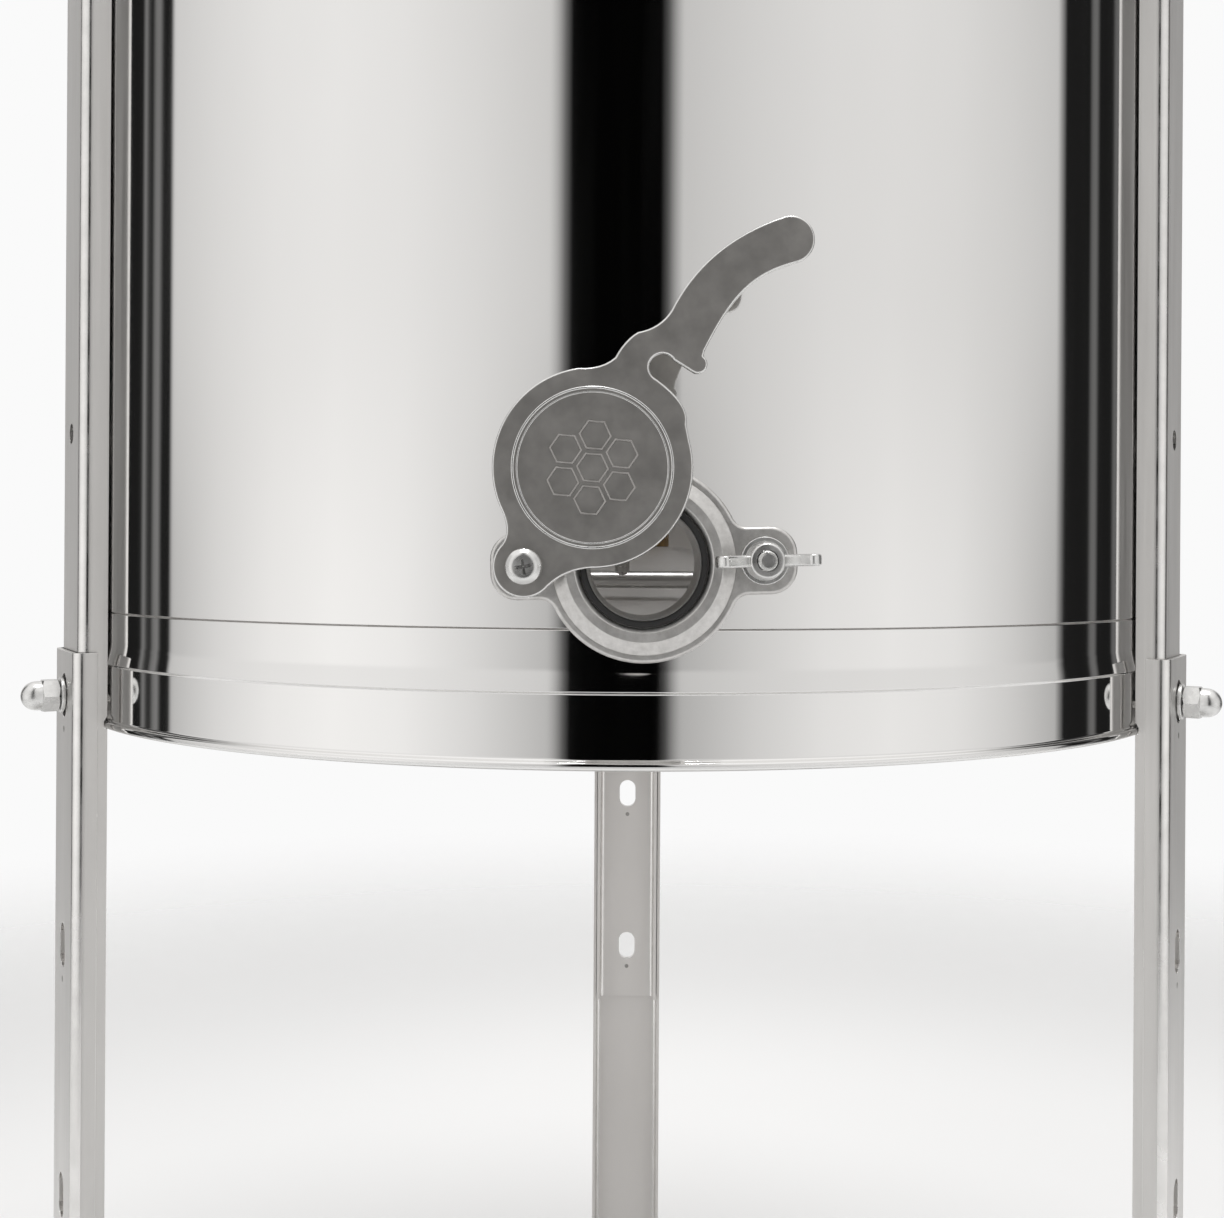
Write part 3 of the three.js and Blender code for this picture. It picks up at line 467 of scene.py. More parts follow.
def black_moulding(name, scale, dark, pale, low, high, distance):
    """Black rubber or plastic with a fine moulded grain."""
    soft = Surface(name, 0.5, metallic=0.0)
    speck = soft.noise(scale, detail=3)
    soft.colour(soft.ramp(speck, [(0.3, dark), (0.7, pale)]))
    soft.roughness(soft.ramp(speck, [(0.3, low), (0.7, high)]))
    soft.bump(speck, distance, 0.4)
    return soft.material


def clear_acrylic():
    """Clear moulded sheet of the lids, faintly scuffed."""
    sheet = Surface("clear_acrylic", 0.08, metallic=0.0)
    cloud = sheet.noise(25, detail=4)
    sheet.colour(sheet.ramp(cloud, [(0.3, (0.80, 0.84, 0.85)), (0.7, (0.88, 0.91, 0.92))]))
    sheet.roughness(sheet.ramp(sheet.noise(300, detail=4), [(0.35, 0.05), (0.8, 0.2)]))
    sheet.bump(cloud, 0.2, 0.2)
    sheet.shader.inputs["Alpha"].default_value = 0.28
    return sheet.material


MIRROR = mirror_steel()
INSIDE = inside_steel()
SATIN = satin_steel()
STAMPED = mottled_steel("stamped_steel", {"scale": 260, "detail": 5},
                        (0.36, 0.35, 0.337), (0.42, 0.408, 0.393), (90, 3, 0.38, 0.46), (0.03, 0.25))
# Cast steel of the pillar, gears and weld. On the legs' rounded corners, its paler colour is a painted
# highlight.
CAST_AND_HIGHLIGHT = mottled_steel("cast_steel", {"scale": 120, "detail": 5},
                     (0.80, 0.79, 0.775), (0.90, 0.89, 0.875), (60, 3, 0.16, 0.28), (0.08, 0.25))
TUMBLED = mottled_steel("tumbled_steel", {"scale": 420, "detail": 5, "roughness": 0.65},
                        (0.58, 0.57, 0.555), (0.74, 0.73, 0.715), (110, 3, 0.34, 0.46), (0.1, 0.4))
# Bright steel of the fasteners. On the gate cover's rim and rings, its paler colour is a painted highlight.
BRIGHT_AND_HIGHLIGHT = mottled_steel("bright_steel_and_highlight", {"scale": 400, "detail": 3},
                       (0.72, 0.72, 0.71), (0.82, 0.82, 0.81), (150, 2, 0.2, 0.34), (0.02, 0.2))
BRUSHED = brushed_steel()
BRONZE = bronze()
RUBBER = black_moulding("black_rubber", 600, (0.010, 0.010, 0.011), (0.024, 0.023, 0.022), 0.55, 0.8, 0.04)
PLASTIC = black_moulding("moulded_plastic", 1400, (0.014, 0.014, 0.015), (0.026, 0.026, 0.027),
                         0.38, 0.52, 0.03)
ACRYLIC = clear_acrylic()


# ---- drum ----

NECK_RADIUS = 24
NECK_HOLE = NECK_RADIUS + 0.35
LATHE_STEPS = 256


def gate_hole():
    return drill(NECK_HOLE, DRUM_RADIUS - 40, DRUM_RADIUS + 20, GATE, sides=64)


def radial_hole(side, z, radius=4.4):
    return drill(radius, DRUM_RADIUS - 25, DRUM_RADIUS + 25, side @ Matrix.Translation((0, 0, z)) @ OUTWARD)


def drum_wall():
    bead_z = DRUM_TOP - 3
    profile = [(DRUM_INSIDE, SEAM_Z + 0.35), (DRUM_RADIUS - 0.25, SEAM_Z + 0.35)]
    profile += [(DRUM_RADIUS, SEAM_Z + 0.6), (DRUM_RADIUS, 552), (DRUM_RADIUS, 700), (DRUM_RADIUS, 900)]
    profile += [(DRUM_RADIUS, bead_z - 6), (DRUM_RADIUS + 0.3, bead_z - 3.2)]
    profile += arc(DRUM_RADIUS + 0.9, bead_z, 2.9, -50, 180, 12)
    profile += [(DRUM_INSIDE, bead_z - 5), (DRUM_INSIDE, 900), (DRUM_INSIDE, 700), (DRUM_INSIDE, 552)]
    wall = lathe("drum_shell", profile, segments=LATHE_STEPS)
    holes = [radial_hole(DRUM @ Matrix.Rotation(math.radians(a), 4, "Z"), 1068) for a in (90, -90)]
    holes += [radial_hole(place, centre_of("leg_rivet_rear").z) for place in LEGS.values()]
    cut(wall, gate_hole(), *holes)
    finished(wall, "frame", MIRROR, ["drum_wall"], sharp=50)
    lined(wall, INSIDE, DRUM_RADIUS - SHEET / 2)


def tank_ring():
    profile = rounded([
        (DRUM_RADIUS + 1.8, DRUM_BOTTOM, 1.2),
        (DRUM_RADIUS + 2.2, DRUM_BOTTOM + 2.8, 1.3),
        (DRUM_RADIUS, DRUM_BOTTOM + 3.4, 1.2),
        (DRUM_RADIUS, RIDGE_Z - 1.4, 0.5),
        (RIDGE_RADIUS, RIDGE_Z - 0.4, 0.4),
        (DRUM_RADIUS, RIDGE_Z + 7, 16),
        (DRUM_RADIUS, SEAM_Z - 0.1, 0.4),
        (DRUM_INSIDE - 0.4, SEAM_Z - 0.1, 0),
        (DRUM_INSIDE - 0.4, SEAM_Z + 9.5, 0),
        (DRUM_INSIDE - 1.6, SEAM_Z + 9.5, 0),
        (DRUM_INSIDE - 1.6, SEAM_Z - 6, 0),
        (DRUM_INSIDE, SEAM_Z - 9, 0),
        (DRUM_INSIDE, DRUM_BOTTOM + 5, 0),
        (DRUM_INSIDE + 0.4, DRUM_BOTTOM, 0),
    ], steps=6)
    ring = lathe("tank_lower_ring", profile, segments=LATHE_STEPS)
    cut(ring, gate_hole(), *[radial_hole(place, BOLT_Z) for place in LEGS.values()])
    finished(ring, "frame", MIRROR, ["tank_ring"], sharp=50)
    lined(ring, INSIDE, DRUM_RADIUS - SHEET / 2)


def tank_floor():
    low, high = corners_of("tank_floor")
    rim = (high.x - low.x) / 2
    sheet = 1.5
    edge = low.z + 14
    profile = rounded([
        (0, high.z, 0),
        (30, high.z, 20),
        (rim - 0.2, edge, 3),
        (rim - 0.2, low.z, 0),
        (rim - sheet, low.z, 0),
        (rim - sheet, edge - sheet, 2),
        (30, high.z - sheet, 20),
        (0, high.z - sheet, 0),
    ], steps=5)
    floor = lathe("tank_cone_floor", profile, segments=160)
    finished(floor, "frame", INSIDE, ["tank_floor"])


# ---- legs ----

LEG_SHEET = 2
LEG_CORNER = 5
LOWER_WIDTH = 46
UPPER_WIDTH = 41
LOWER_FACE = 274
UPPER_FACE = 271.6
LOWER_EDGE = HEM_RADIUS + 2
UPPER_EDGE = DRUM_RADIUS + 0.05
BOLT_Z = 463.1
SLOT_PITCH = 106.4
SLOT_COUNT = 3
UPPER_HOLE_Z = 574.3
UPPER_HOLE_RADIUS = 4.3
SLOT_WIDTH = 11
SLOT_LENGTH = 18.5
PUNCH_BELOW_SLOT = 14.5


def channel(name, width, face, back, low, high, place):
    half = width / 2
    outline = rounded([
        (-half, back, 0.2),
        (-half, face, LEG_CORNER),
        (half, face, LEG_CORNER),
        (half, back, 0.2),
        (half - LEG_SHEET, back, 0.2),
        (half - LEG_SHEET, face - LEG_SHEET, LEG_CORNER - LEG_SHEET),
        (-half + LEG_SHEET, face - LEG_SHEET, LEG_CORNER - LEG_SHEET),
        (-half + LEG_SHEET, back, 0.2),
    ], steps=6)
    return prism(name, outline, low, high, place)


def slot_tool(z, place):
    radius = SLOT_WIDTH / 2
    reach = SLOT_LENGTH / 2 - radius
    outline = arc(0, reach, radius, 0, 180, 14) + arc(0, -reach, radius, 180, 360, 14)
    outward = place @ Matrix.Translation((0, 0, z)) @ OUTWARD
    return prism("slot", outline, DRUM_RADIUS, DRUM_RADIUS + 30, outward)


def ridge_tool():
    """The space that the drum's ridge and hem take out of a leg's flanges."""
    gap = 0.05
    profile = rounded([
        (0, DRUM_BOTTOM - gap, 0),
        (DRUM_RADIUS + 2.3 + gap, DRUM_BOTTOM - gap, 1),
        (DRUM_RADIUS + 2.3 + gap, DRUM_BOTTOM + 3, 1),
        (DRUM_RADIUS + gap, DRUM_BOTTOM + 7, 1),
        (DRUM_RADIUS + gap, RIDGE_Z - 1.6, 0.4),
        (RIDGE_RADIUS + gap, RIDGE_Z - 0.4, 0.4),
        (DRUM_RADIUS + gap, RIDGE_Z + 7.5, 16),
        (DRUM_RADIUS + gap, DRUM_TOP, 0),
        (0, DRUM_TOP, 0),
    ], steps=3)
    return lathe("ridge", profile, segments=LATHE_STEPS)


def leg(side):
    place = LEGS[side]
    slots = [BOLT_Z - step * SLOT_PITCH for step in range(SLOT_COUNT)]
    axes = place.to_3x3().transposed()
    for part, width, face, edge in (
        ("lower", LOWER_WIDTH, LOWER_FACE, LOWER_EDGE),
        ("upper", UPPER_WIDTH, UPPER_FACE, UPPER_EDGE),
    ):
        node = f"{part}_leg_{side}"
        low, high = corners_of(node)
        sheet = channel(f"leg_{part}_{side}", width, face, edge, low.z, high.z, place)
        if part == "upper":
            cut(sheet, ridge_tool(), radial_hole(place, UPPER_HOLE_Z, UPPER_HOLE_RADIUS))
        cut(sheet, *[slot_tool(z, place) for z in slots])
        bevelled(sheet, 0.35, 2)
        finished(sheet, "frame", SATIN, [node])
        # Painted highlight: the rounded corners and bevels take the paler cast steel, whose lighter colour
        # stands in for the highlight along the corners; its lower roughness is real gloss.
        edged(sheet, CAST_AND_HIGHLIGHT, *axes)
        faced(sheet, INSIDE, -axes[1])

    punches = []
    inner_face = UPPER_FACE - LEG_SHEET
    for step in range(SLOT_COUNT):
        z = BOLT_Z - step * SLOT_PITCH - PUNCH_BELOW_SLOT
        dimple = [(0, 0.12), (1.1, 0.1), (1.6, -0.1), (0, -0.1)]
        for face, turn in ((LOWER_FACE, 0), (inner_face, 180)):
            spot = place @ Matrix.Translation((0, face, z)) @ OUTWARD
            facing = spot @ Matrix.Rotation(math.radians(turn), 4, "X")
            punches.append(lathe("punch", dimple, facing, segments=20))
    finished(joined(f"leg_punch_marks_{side}", punches), "frame", STAMPED, [])
    leg_fasteners(side, place)
    shoe(side, place)


def chamfered_hex(name, across_flats, low, high, place):
    """A hexagon whose ends are chamfered to a circle."""
    outer = across_flats / math.sqrt(3)
    nut = prism(name, arc(0, 0, outer, 0, 300, 5), low, high, place)
    inner = across_flats / 2 - 0.2
    drop = (outer - inner) * 0.6
    profile = [(0, low), (inner, low), (outer + 0.3, low + drop + 0.2)]
    profile += [(outer + 0.3, high - drop - 0.2), (inner, high), (0, high)]
    return cut(nut, lathe("chamfer", profile, place, segments=64), operation="INTERSECT")


def leg_fasteners(side, place):
    outward = place @ Matrix.Translation((0, 0, BOLT_Z)) @ OUTWARD
    washer_back = LOWER_FACE + 0.35
    washer = lathe(f"leg_washer_detail_{side}", rounded([
        (4.4, washer_back, 0.3), (7.5, washer_back, 0.3),
        (7.5, washer_back + 1.6, 0.4), (4.4, washer_back + 1.6, 0.3),
    ], steps=3), outward, segments=64)
    finished(washer, "frame", BRIGHT_AND_HIGHLIGHT, [f"leg_washer_{side}"])

    back = washer_back + 1.6 + 0.35
    nut = chamfered_hex(f"leg_dome_nut_detail_{side}", 13, back, back + 7, outward)
    dome = [(0, back + 2), (6.15, back + 2), (6.15, back + 8.3)]
    dome += arc(0, back + 8.9, 6.1, 0, 81, 9)
    dome.append((0, back + 15))
    cut(nut, lathe("dome", dome, outward, segments=64), operation="UNION")
    cut(nut, drill(4.3, back - 1, back + 10, outward, sides=32))
    finished(nut, "frame", BRIGHT_AND_HIGHLIGHT, [f"leg_dome_nut_{side}"])

    bolt_head = DRUM_INSIDE - 6.3
    bolt = chamfered_hex(f"leg_bolt_detail_{side}", 13, bolt_head, DRUM_INSIDE - 0.8, outward)
    shank = lathe("shank", [
        (0, DRUM_INSIDE - 2), (3.9, DRUM_INSIDE - 2), (3.9, back + 7.5), (3, back + 8.3), (0, back + 8.3),
    ], outward, segments=40)
    cut(bolt, shank, operation="UNION")
    finished(bolt, "frame", BRIGHT_AND_HIGHLIGHT, [f"leg_bolt_{side}"])

    node = f"leg_rivet_{side}"
    rivet(node, place, centre_of(node).z, DRUM_INSIDE - 0.8, UPPER_FACE + 0.35)


def rivet(node, place, z, inner, outer):
    head = [(7 * x, 2.1 * y) for x, y in arc(0, 0, 1, 0, 75, 5)]
    profile = [(0, inner - 3)]
    profile += [(x, inner - 0.9 - y) for x, y in reversed(head)]
    profile += [(7, inner), (3.9, inner), (3.9, outer), (7, outer)]
    profile += [(x, outer + 0.9 + y) for x, y in head]
    profile.append((0, outer + 3))
    head = lathe(f"{node}_detail", profile, place @ Matrix.Translation((0, 0, z)) @ OUTWARD, segments=48)
    finished(head, "frame", BRIGHT_AND_HIGHLIGHT, [node])


def shoe(side, place):
    half = LOWER_WIDTH / 2 + 4
    outline = rounded([
        (-half, DRUM_RADIUS - 4, 3), (half, DRUM_RADIUS - 4, 3),
        (half, LOWER_FACE + 4, 5), (-half, LOWER_FACE + 4, 5),
    ], steps=6)
    foot = prism(f"foot_shoe_{side}", outline, 0, 22, place)
    gap = 0.35
    wide = LOWER_WIDTH / 2
    pocket = [
        (-wide - gap, LOWER_EDGE - gap), (-wide - gap, LOWER_FACE + gap),
        (wide + gap, LOWER_FACE + gap), (wide + gap, LOWER_EDGE - gap),
        (wide - LEG_SHEET - gap, LOWER_EDGE - gap), (wide - LEG_SHEET - gap, LOWER_FACE - LEG_SHEET - gap),
        (-wide + LEG_SHEET + gap, LOWER_FACE - LEG_SHEET - gap),
        (-wide + LEG_SHEET + gap, LOWER_EDGE - gap),
    ]
    cut(foot, prism("pocket", pocket, 5.65, 30, place))
    bevelled(foot, 1.0, 3)
    finished(foot, "frame", RUBBER, [f"foot_{side}"])


# ---- honey gate ----

BORE = 18
GATE_BACK = 290.1
FLANGE_BACK = 293.9
FLANGE_FRONT = 297.9
SEAT_FRONT = 301.4
FLANGE_RADIUS = 31.8
COVER_BACK = 302
COVER_FRONT = 305
DISC_RADIUS = 31.5


def gate_neck():
    back = GATE_BACK - 0.35
    inner_end = 256.5
    profile = rounded([
        (BORE, inner_end, 0.5), (NECK_RADIUS, inner_end, 0.5), (NECK_RADIUS, back, 0), (BORE, back, 0),
    ])
    neck = lathe("gate_neck_tube", profile, GATE, segments=96)
    finished(neck, "frame", TUMBLED, ["gate_neck"])
    weld_points = []
    for x, y in arc(0, 0, NECK_RADIUS + 1.4, 0, 357, 119):
        weld_points.append((x, y, math.sqrt(DRUM_RADIUS ** 2 - (x + GATE_CENTRE.x - AXIS.x) ** 2) + 0.9))
    weld = swept("gate_neck_weld", weld_points, 1.3, GATE, sides=10)
    finished(weld, "frame", CAST_AND_HIGHLIGHT, [])


def eared_outline():
    """The flange: a disc with a square-shouldered ear each side, blended in with small fillets."""
    ear = 10.8
    tip = EAR_OFFSET + 11.2
    fillet = 5
    join = math.sqrt((FLANGE_RADIUS + fillet) ** 2 - (ear + fillet) ** 2)
    turn = math.degrees(math.asin((ear + fillet) / (FLANGE_RADIUS + fillet)))
    quarter = arc(tip - 8.5, ear - 8.5, 8.5, 0, 90, 10)
    quarter += arc(join, ear + fillet, fillet, 270, 180 + turn, 6)
    quarter += arc(0, 0, FLANGE_RADIUS, turn, 90, 20)
    half = quarter + [(-x, y) for x, y in reversed(quarter[:-1])]
    return half + [(x, -y) for x, y in reversed(half)]


def gate_body():
    flange = prism("gate_body_casting", eared_outline(), FLANGE_BACK, FLANGE_FRONT, GATE)
    cut(flange, drill(BORE + 1.2, GATE_BACK - 1, SEAT_FRONT, GATE, sides=96))
    bevelled(flange, 1.3, 5)
    seat = lathe("seat", rounded([
        (BORE, FLANGE_BACK - 1.2, 0), (BORE + 1, FLANGE_FRONT - 1, 0), (29.2, FLANGE_FRONT - 1, 0),
        (29.2, FLANGE_FRONT + 0.8, 0.5), (25, SEAT_FRONT, 0.7), (BORE + 4, SEAT_FRONT, 0.6),
        (BORE + 2.7, SEAT_FRONT - 1.4, 0.4), (BORE + 2.6, SEAT_FRONT - 4.9, 0), (BORE, SEAT_FRONT - 4.9, 0),
    ], steps=5), GATE, segments=128)
    hub = lathe("hub", rounded([
        (BORE, GATE_BACK, 0.4), (28, GATE_BACK, 1.2), (28, FLANGE_BACK + 1, 0), (BORE, FLANGE_BACK + 1, 0),
    ]), GATE, segments=96)
    boss = lathe("boss", rounded([
        (0, FLANGE_FRONT - 1, 0), (8.4, FLANGE_FRONT - 1, 0), (8.4, SEAT_FRONT, 0.6), (0, SEAT_FRONT, 0),
    ]), PIVOT, segments=48)
    cut(flange, seat, hub, boss, operation="UNION")
    for place in (PIVOT, CLAMP):
        cut(flange, drill(3.4, GATE_BACK - 1, SEAT_FRONT + 1, place))
    finished(flange, "frame", TUMBLED, ["gate_body"], sharp=38)

    seal = lathe("gate_seal_ring", rounded([
        (BORE + 0.3, SEAT_FRONT - 4.6, 0.4), (BORE + 2.3, SEAT_FRONT - 4.6, 0.4),
        (BORE + 2.3, SEAT_FRONT - 0.2, 0.9), (BORE + 0.3, SEAT_FRONT - 0.2, 0.9),
    ], steps=5), GATE, segments=96)
    finished(seal, "frame", RUBBER, ["gate_seal"])


def cover_outline():
    """The cover about its pivot, with the disc towards +X."""
    outline = arc(0, 0, 9.8, -95, -280, 24)
    disc = arc(EAR_OFFSET, 0, DISC_RADIUS, 148, 43, 40)
    outline += quadratic(outline[-1], (7, 9.4), disc[0], 8)[:-1]
    outline += disc
    outline += quadratic(outline[-1], (64.6, 15.2), (70, 13.9), 6)
    outline += quadratic(outline[-1], (76, 14.6), (80.5, 12.6), 6)
    outline += quadratic(outline[-1], (85.5, 7.6), (92, 7.9), 8)
    outline += bezier(outline[-1], (106, 9.9), (121, 7.2), (136.5, -4.5), 16)
    outline += arc(131.6, -10.2, 7.5, 49, -130, 20)[1:]
    outline += bezier(outline[-1], (116, -6.6), (107, -5.2), (87.6, -8), 16)
    outline += arc(83, -8.6, 3, 0, -180, 12)
    outline += arc(2 * EAR_OFFSET + 0.6, 0, 4.2, -25, 190, 18)
    outline += quadratic(outline[-1], (71.4, -14), (65.5, -16.4), 8)
    outline += arc(EAR_OFFSET, 0, DISC_RADIUS, -40, -146, 36)
    outline += quadratic(outline[-1], (6.5, -11.2), (9.8 * math.cos(math.radians(-95)), -9.8), 8)[:-1]
    return outline


def gate_cover():
    cover = prism("gate_cover_plate", cover_outline(), COVER_BACK, COVER_FRONT, COVER)
    cut(cover, drill(3.4, COVER_BACK - 1, COVER_FRONT + 1, COVER))
    bevelled(cover, 1.2, 5, angle=50)
    finished(cover, "gate_cover", STAMPED, ["gate_cover"])
    # Painted highlight: the bevelled rim takes the paler bright steel, whose lighter colour stands in for
    # the rim's highlight; its lower roughness is real gloss.
    edged(cover, BRIGHT_AND_HIGHLIGHT, Vector((0, 1, 0)))

    # The two raised rings take the paler bright steel: their lighter colour is a painted highlight on the
    # cover's pressed rings.
    rings = []
    for radius, width in ((25.1, 0.48), (23.7, 0.3)):
        path = [(EAR_OFFSET + x, y, COVER_FRONT - 0.05) for x, y in arc(0, 0, radius, 0, 357, 119)]
        rings.append(swept("ring", path, width, COVER, sides=10))
    finished(joined("gate_cover_rings", rings), "gate_cover", BRIGHT_AND_HIGHLIGHT, [])

    cells = []
    pitch = 10.2
    for ring, count in ((0, 1), (1, 6)):
        for i in range(count):
            turn = math.radians(60 * i + 30)
            x = EAR_OFFSET + ring * pitch * math.cos(turn)
            y = ring * pitch * math.sin(turn)
            path = [(x + px, y + py, COVER_FRONT) for px, py in arc(0, 0, 4.9, 0, 300, 5)]
            cells.append(swept("cell", path, 0.42, COVER, sides=8))
    finished(joined("gate_cover_cells", cells), "gate_cover", STAMPED, [])


def pivot_screw():
    back = COVER_FRONT + 0.35
    head = lathe("gate_pivot_screw_detail", rounded([
        (0, back, 0), (5.75, back, 0.4), (5.75, back + 1.7, 1.2), (4.0, back + 3.4, 2), (0, back + 3.6, 0),
    ], steps=6), PIVOT, segments=64)
    twist = PIVOT @ Matrix.Rotation(math.radians(8), 4, "Z")
    arm = (2.4, 0.55)
    for across, up in (arm, arm[::-1]):
        cut(head, block((-across, -up, back + 1.4), (across, up, back + 5), twist))
    dip = [(0, back + 1.2), (0.6, back + 1.8), (1.1, back + 5), (0, back + 5)]
    cut(head, lathe("dip", dip, PIVOT, segments=24))
    end = FLANGE_BACK - 6.5
    shank = lathe("shank", [(0, end), (2.5, end), (3, end + 0.5), (3, back + 0.6), (0, back + 0.6)], PIVOT)
    cut(head, shank, operation="UNION")
    finished(head, "frame", BRIGHT_AND_HIGHLIGHT, ["gate_pivot_screw"])

    front = FLANGE_BACK - 0.35
    nut = chamfered_hex("gate_pivot_nut_detail", 10, front - 5, front, PIVOT)
    cut(nut, drill(3.35, front - 6, front + 1, PIVOT, sides=32))
    finished(nut, "frame", BRIGHT_AND_HIGHLIGHT, ["gate_pivot_nut"])


def threaded(name, radius, low, high, pitch, place):
    """A threaded rod, drawn as a stack of fine ridges."""
    profile = [(0, low)]
    count = int((high - low - 1) / pitch)
    for i in range(count):
        z = low + i * pitch
        profile += [(radius - 0.45, z + 0.02), (radius, z + pitch / 2)]
    profile += [(radius - 0.5, low + count * pitch), (radius - 0.9, high), (0, high)]
    return lathe(name, profile, place, segments=40)


def clamp():
    stud_front = AXIS.y - corners_of("gate_stud")[0].y
    stud = threaded("gate_stud_thread", 3, GATE_BACK, stud_front, 1.0, CLAMP)
    finished(stud, "frame", BRIGHT_AND_HIGHLIGHT, ["gate_stud"], sharp=70)
    washer = lathe("gate_washer_detail", rounded([
        (3.4, COVER_FRONT + 0.4, 0.2), (7.5, COVER_FRONT + 0.4, 0.3),
        (7.5, COVER_FRONT + 1.6, 0.3), (3.4, COVER_FRONT + 1.6, 0.2),
    ], steps=3), CLAMP, segments=48)
    finished(washer, "gate_washer", BRIGHT_AND_HIGHLIGHT, ["gate_washer"])

    back = COVER_FRONT + 1.9
    tip = AXIS.y - corners_of("gate_wing_nut")[0].y - back
    outline = [(3.8, 0.6)]
    outline += quadratic((3.8, 0.6), (14, 1.2), (16.2, 9.5), 10)
    outline += quadratic((16.2, 9.5), (16.2, tip), (12.6, tip), 8)
    outline += quadratic((12.6, tip), (8.6, 9), (3.8, 6.6), 8)
    turn = Matrix.Rotation(math.radians(90), 4, "X")
    wings = []
    for side in (0, 180):
        spin = Matrix.Rotation(math.radians(side), 4, "Z")
        place = CLAMP @ Matrix.Translation((0, 0, back)) @ spin @ turn
        wing = prism("wing", outline, -1.85, 1.85, place)
        wings.append(bevelled(wing, 1.1, 4, angle=40))
    hub = lathe("gate_wing_nut_detail", rounded([
        (0, back, 0), (6.3, back, 0.5), (5.4, back + 8.4, 0.8), (0, back + 8.4, 0),
    ], steps=4), CLAMP, segments=64)
    cut(hub, *wings, operation="UNION")
    cut(hub, drill(3.35, back - 1, back + 12, CLAMP, sides=40))
    finished(hub, "gate_wing_nut", BRIGHT_AND_HIGHLIGHT, ["gate_wing_nut"], sharp=45)


# ---- crossbar, drive, lids and basket ----

FINE_GAP = 0.35


def refined(node, body, material, width=0.5, segments=3):
    """A copy of a CAD node with its flat faces merged and its edges rounded."""
    mesh = frame["nodes"][node].data.copy()
    work = bmesh.new()
    work.from_mesh(mesh)
    bmesh.ops.remove_doubles(work, verts=work.verts, dist=1e-6)
    bmesh.ops.dissolve_limit(work, angle_limit=math.radians(0.6), verts=work.verts, edges=work.edges)
    work.to_mesh(mesh)
    work.free()
    obj = linked(f"{node}_detail", mesh)
    bevelled(obj, width, segments)
    return finished(obj, body, material, [node])


def turned(node, profile, place, body, material, segments=64):
    part = lathe(f"{node}_detail", profile, place, segments)
    return finished(part, body, material, [node])


def rod(radius, low, high, edge):
    return rounded([(0, low, 0), (radius, low, edge), (radius, high, edge), (0, high, 0)])


def bearings():
    low, high = corners_of("top_bearing")
    seat = high.z - 3
    turned("top_bearing", rounded([
        (8.5, low.z, 0.5), (14, low.z, 0.8), (14, seat, 0.4), (22, seat, 0.3),
        (22, high.z, 0.8), (8.5, high.z, 0.8),
    ], steps=4), DRUM, "frame", BRONZE)
    refined("bottom_bearing", "frame", BRONZE, 0.4)


def bolt_head(name, x, y, z, across=10):
    """A hexagon head with its washer, standing on z."""
    place = DRUM @ Matrix.Translation((x, y, z))
    profile = rounded([(0, 0, 0), (8, 0, 0.3), (8, 1.4, 0.4), (0, 1.4, 0)], steps=3)
    washer = lathe("washer", profile, place, segments=40)
    head = chamfered_hex(name, across, 1.4, 6.6, place)
    finished(cut(head, washer, operation="UNION"), "frame", BRIGHT_AND_HIGHLIGHT, [])


def crossbar():
    refined("crossbar", "frame", BRUSHED, 0.6)
    for side, angle in (("left", 90), ("right", -90)):
        node = f"crossbar_rivet_{side}"
        place = DRUM @ Matrix.Rotation(math.radians(angle), 4, "Z")
        rivet(node, place, centre_of(node).z, DRUM_INSIDE - 0.8, 267.3 + FINE_GAP)
    refined("gear_housing", "frame", BRUSHED, 1.6, 4)
    refined("crank_pillar", "frame", CAST_AND_HIGHLIGHT, 1.5, 4)
    pillar = centre_of("crank_pillar") - AXIS
    top = corners_of("crossbar")[1].z
    for side in (-1, 1):
        bolt_head(f"pillar_bolt_{side + 1}", pillar.x, side * 28, top + 0.3)


def drive():
    refined("crank_gear", "crank", CAST_AND_HIGHLIGHT, 0.25, 2)
    refined("pinion", "basket", CAST_AND_HIGHLIGHT, 0.25, 2)
    low, high = corners_of("crank_shaft")
    along = DRUM @ Matrix.Translation((0, 0, GEAR_AXIS_Z)) @ ALONG_X
    profile = rod(8, low.x - AXIS.x, high.x - AXIS.x, 1)
    turned("crank_shaft", profile, along, "crank", BRUSHED)
    refined("crank_arm", "crank", BRUSHED, 1.2, 4)
    refined("crank_grip_pin", "crank", BRIGHT_AND_HIGHLIGHT, 0.5)
    grip_low, grip_high = corners_of("crank_grip")
    grip_place = DRUM @ Matrix.Translation((0, 0, centre_of("crank_grip").z)) @ ALONG_X
    first = grip_low.x - AXIS.x
    last = grip_high.x - AXIS.x
    middle = (first + last) / 2
    outline = [(6.5, first), (11, first)]
    outline += quadratic((11, first), (14, first), (14, first + 6), 6)
    outline += bezier((14, first + 6), (12.6, middle - 12), (11.4, middle), (12.4, middle + 12), 14)
    outline += bezier((12.4, middle + 12), (13.2, last - 18), (14, last - 14), (14, last - 8), 10)
    outline += quadratic((14, last - 8), (13.6, last), (9.5, last), 8)
    outline.append((6.5, last))
    turned("crank_grip", outline, grip_place, "crank_grip", PLASTIC)


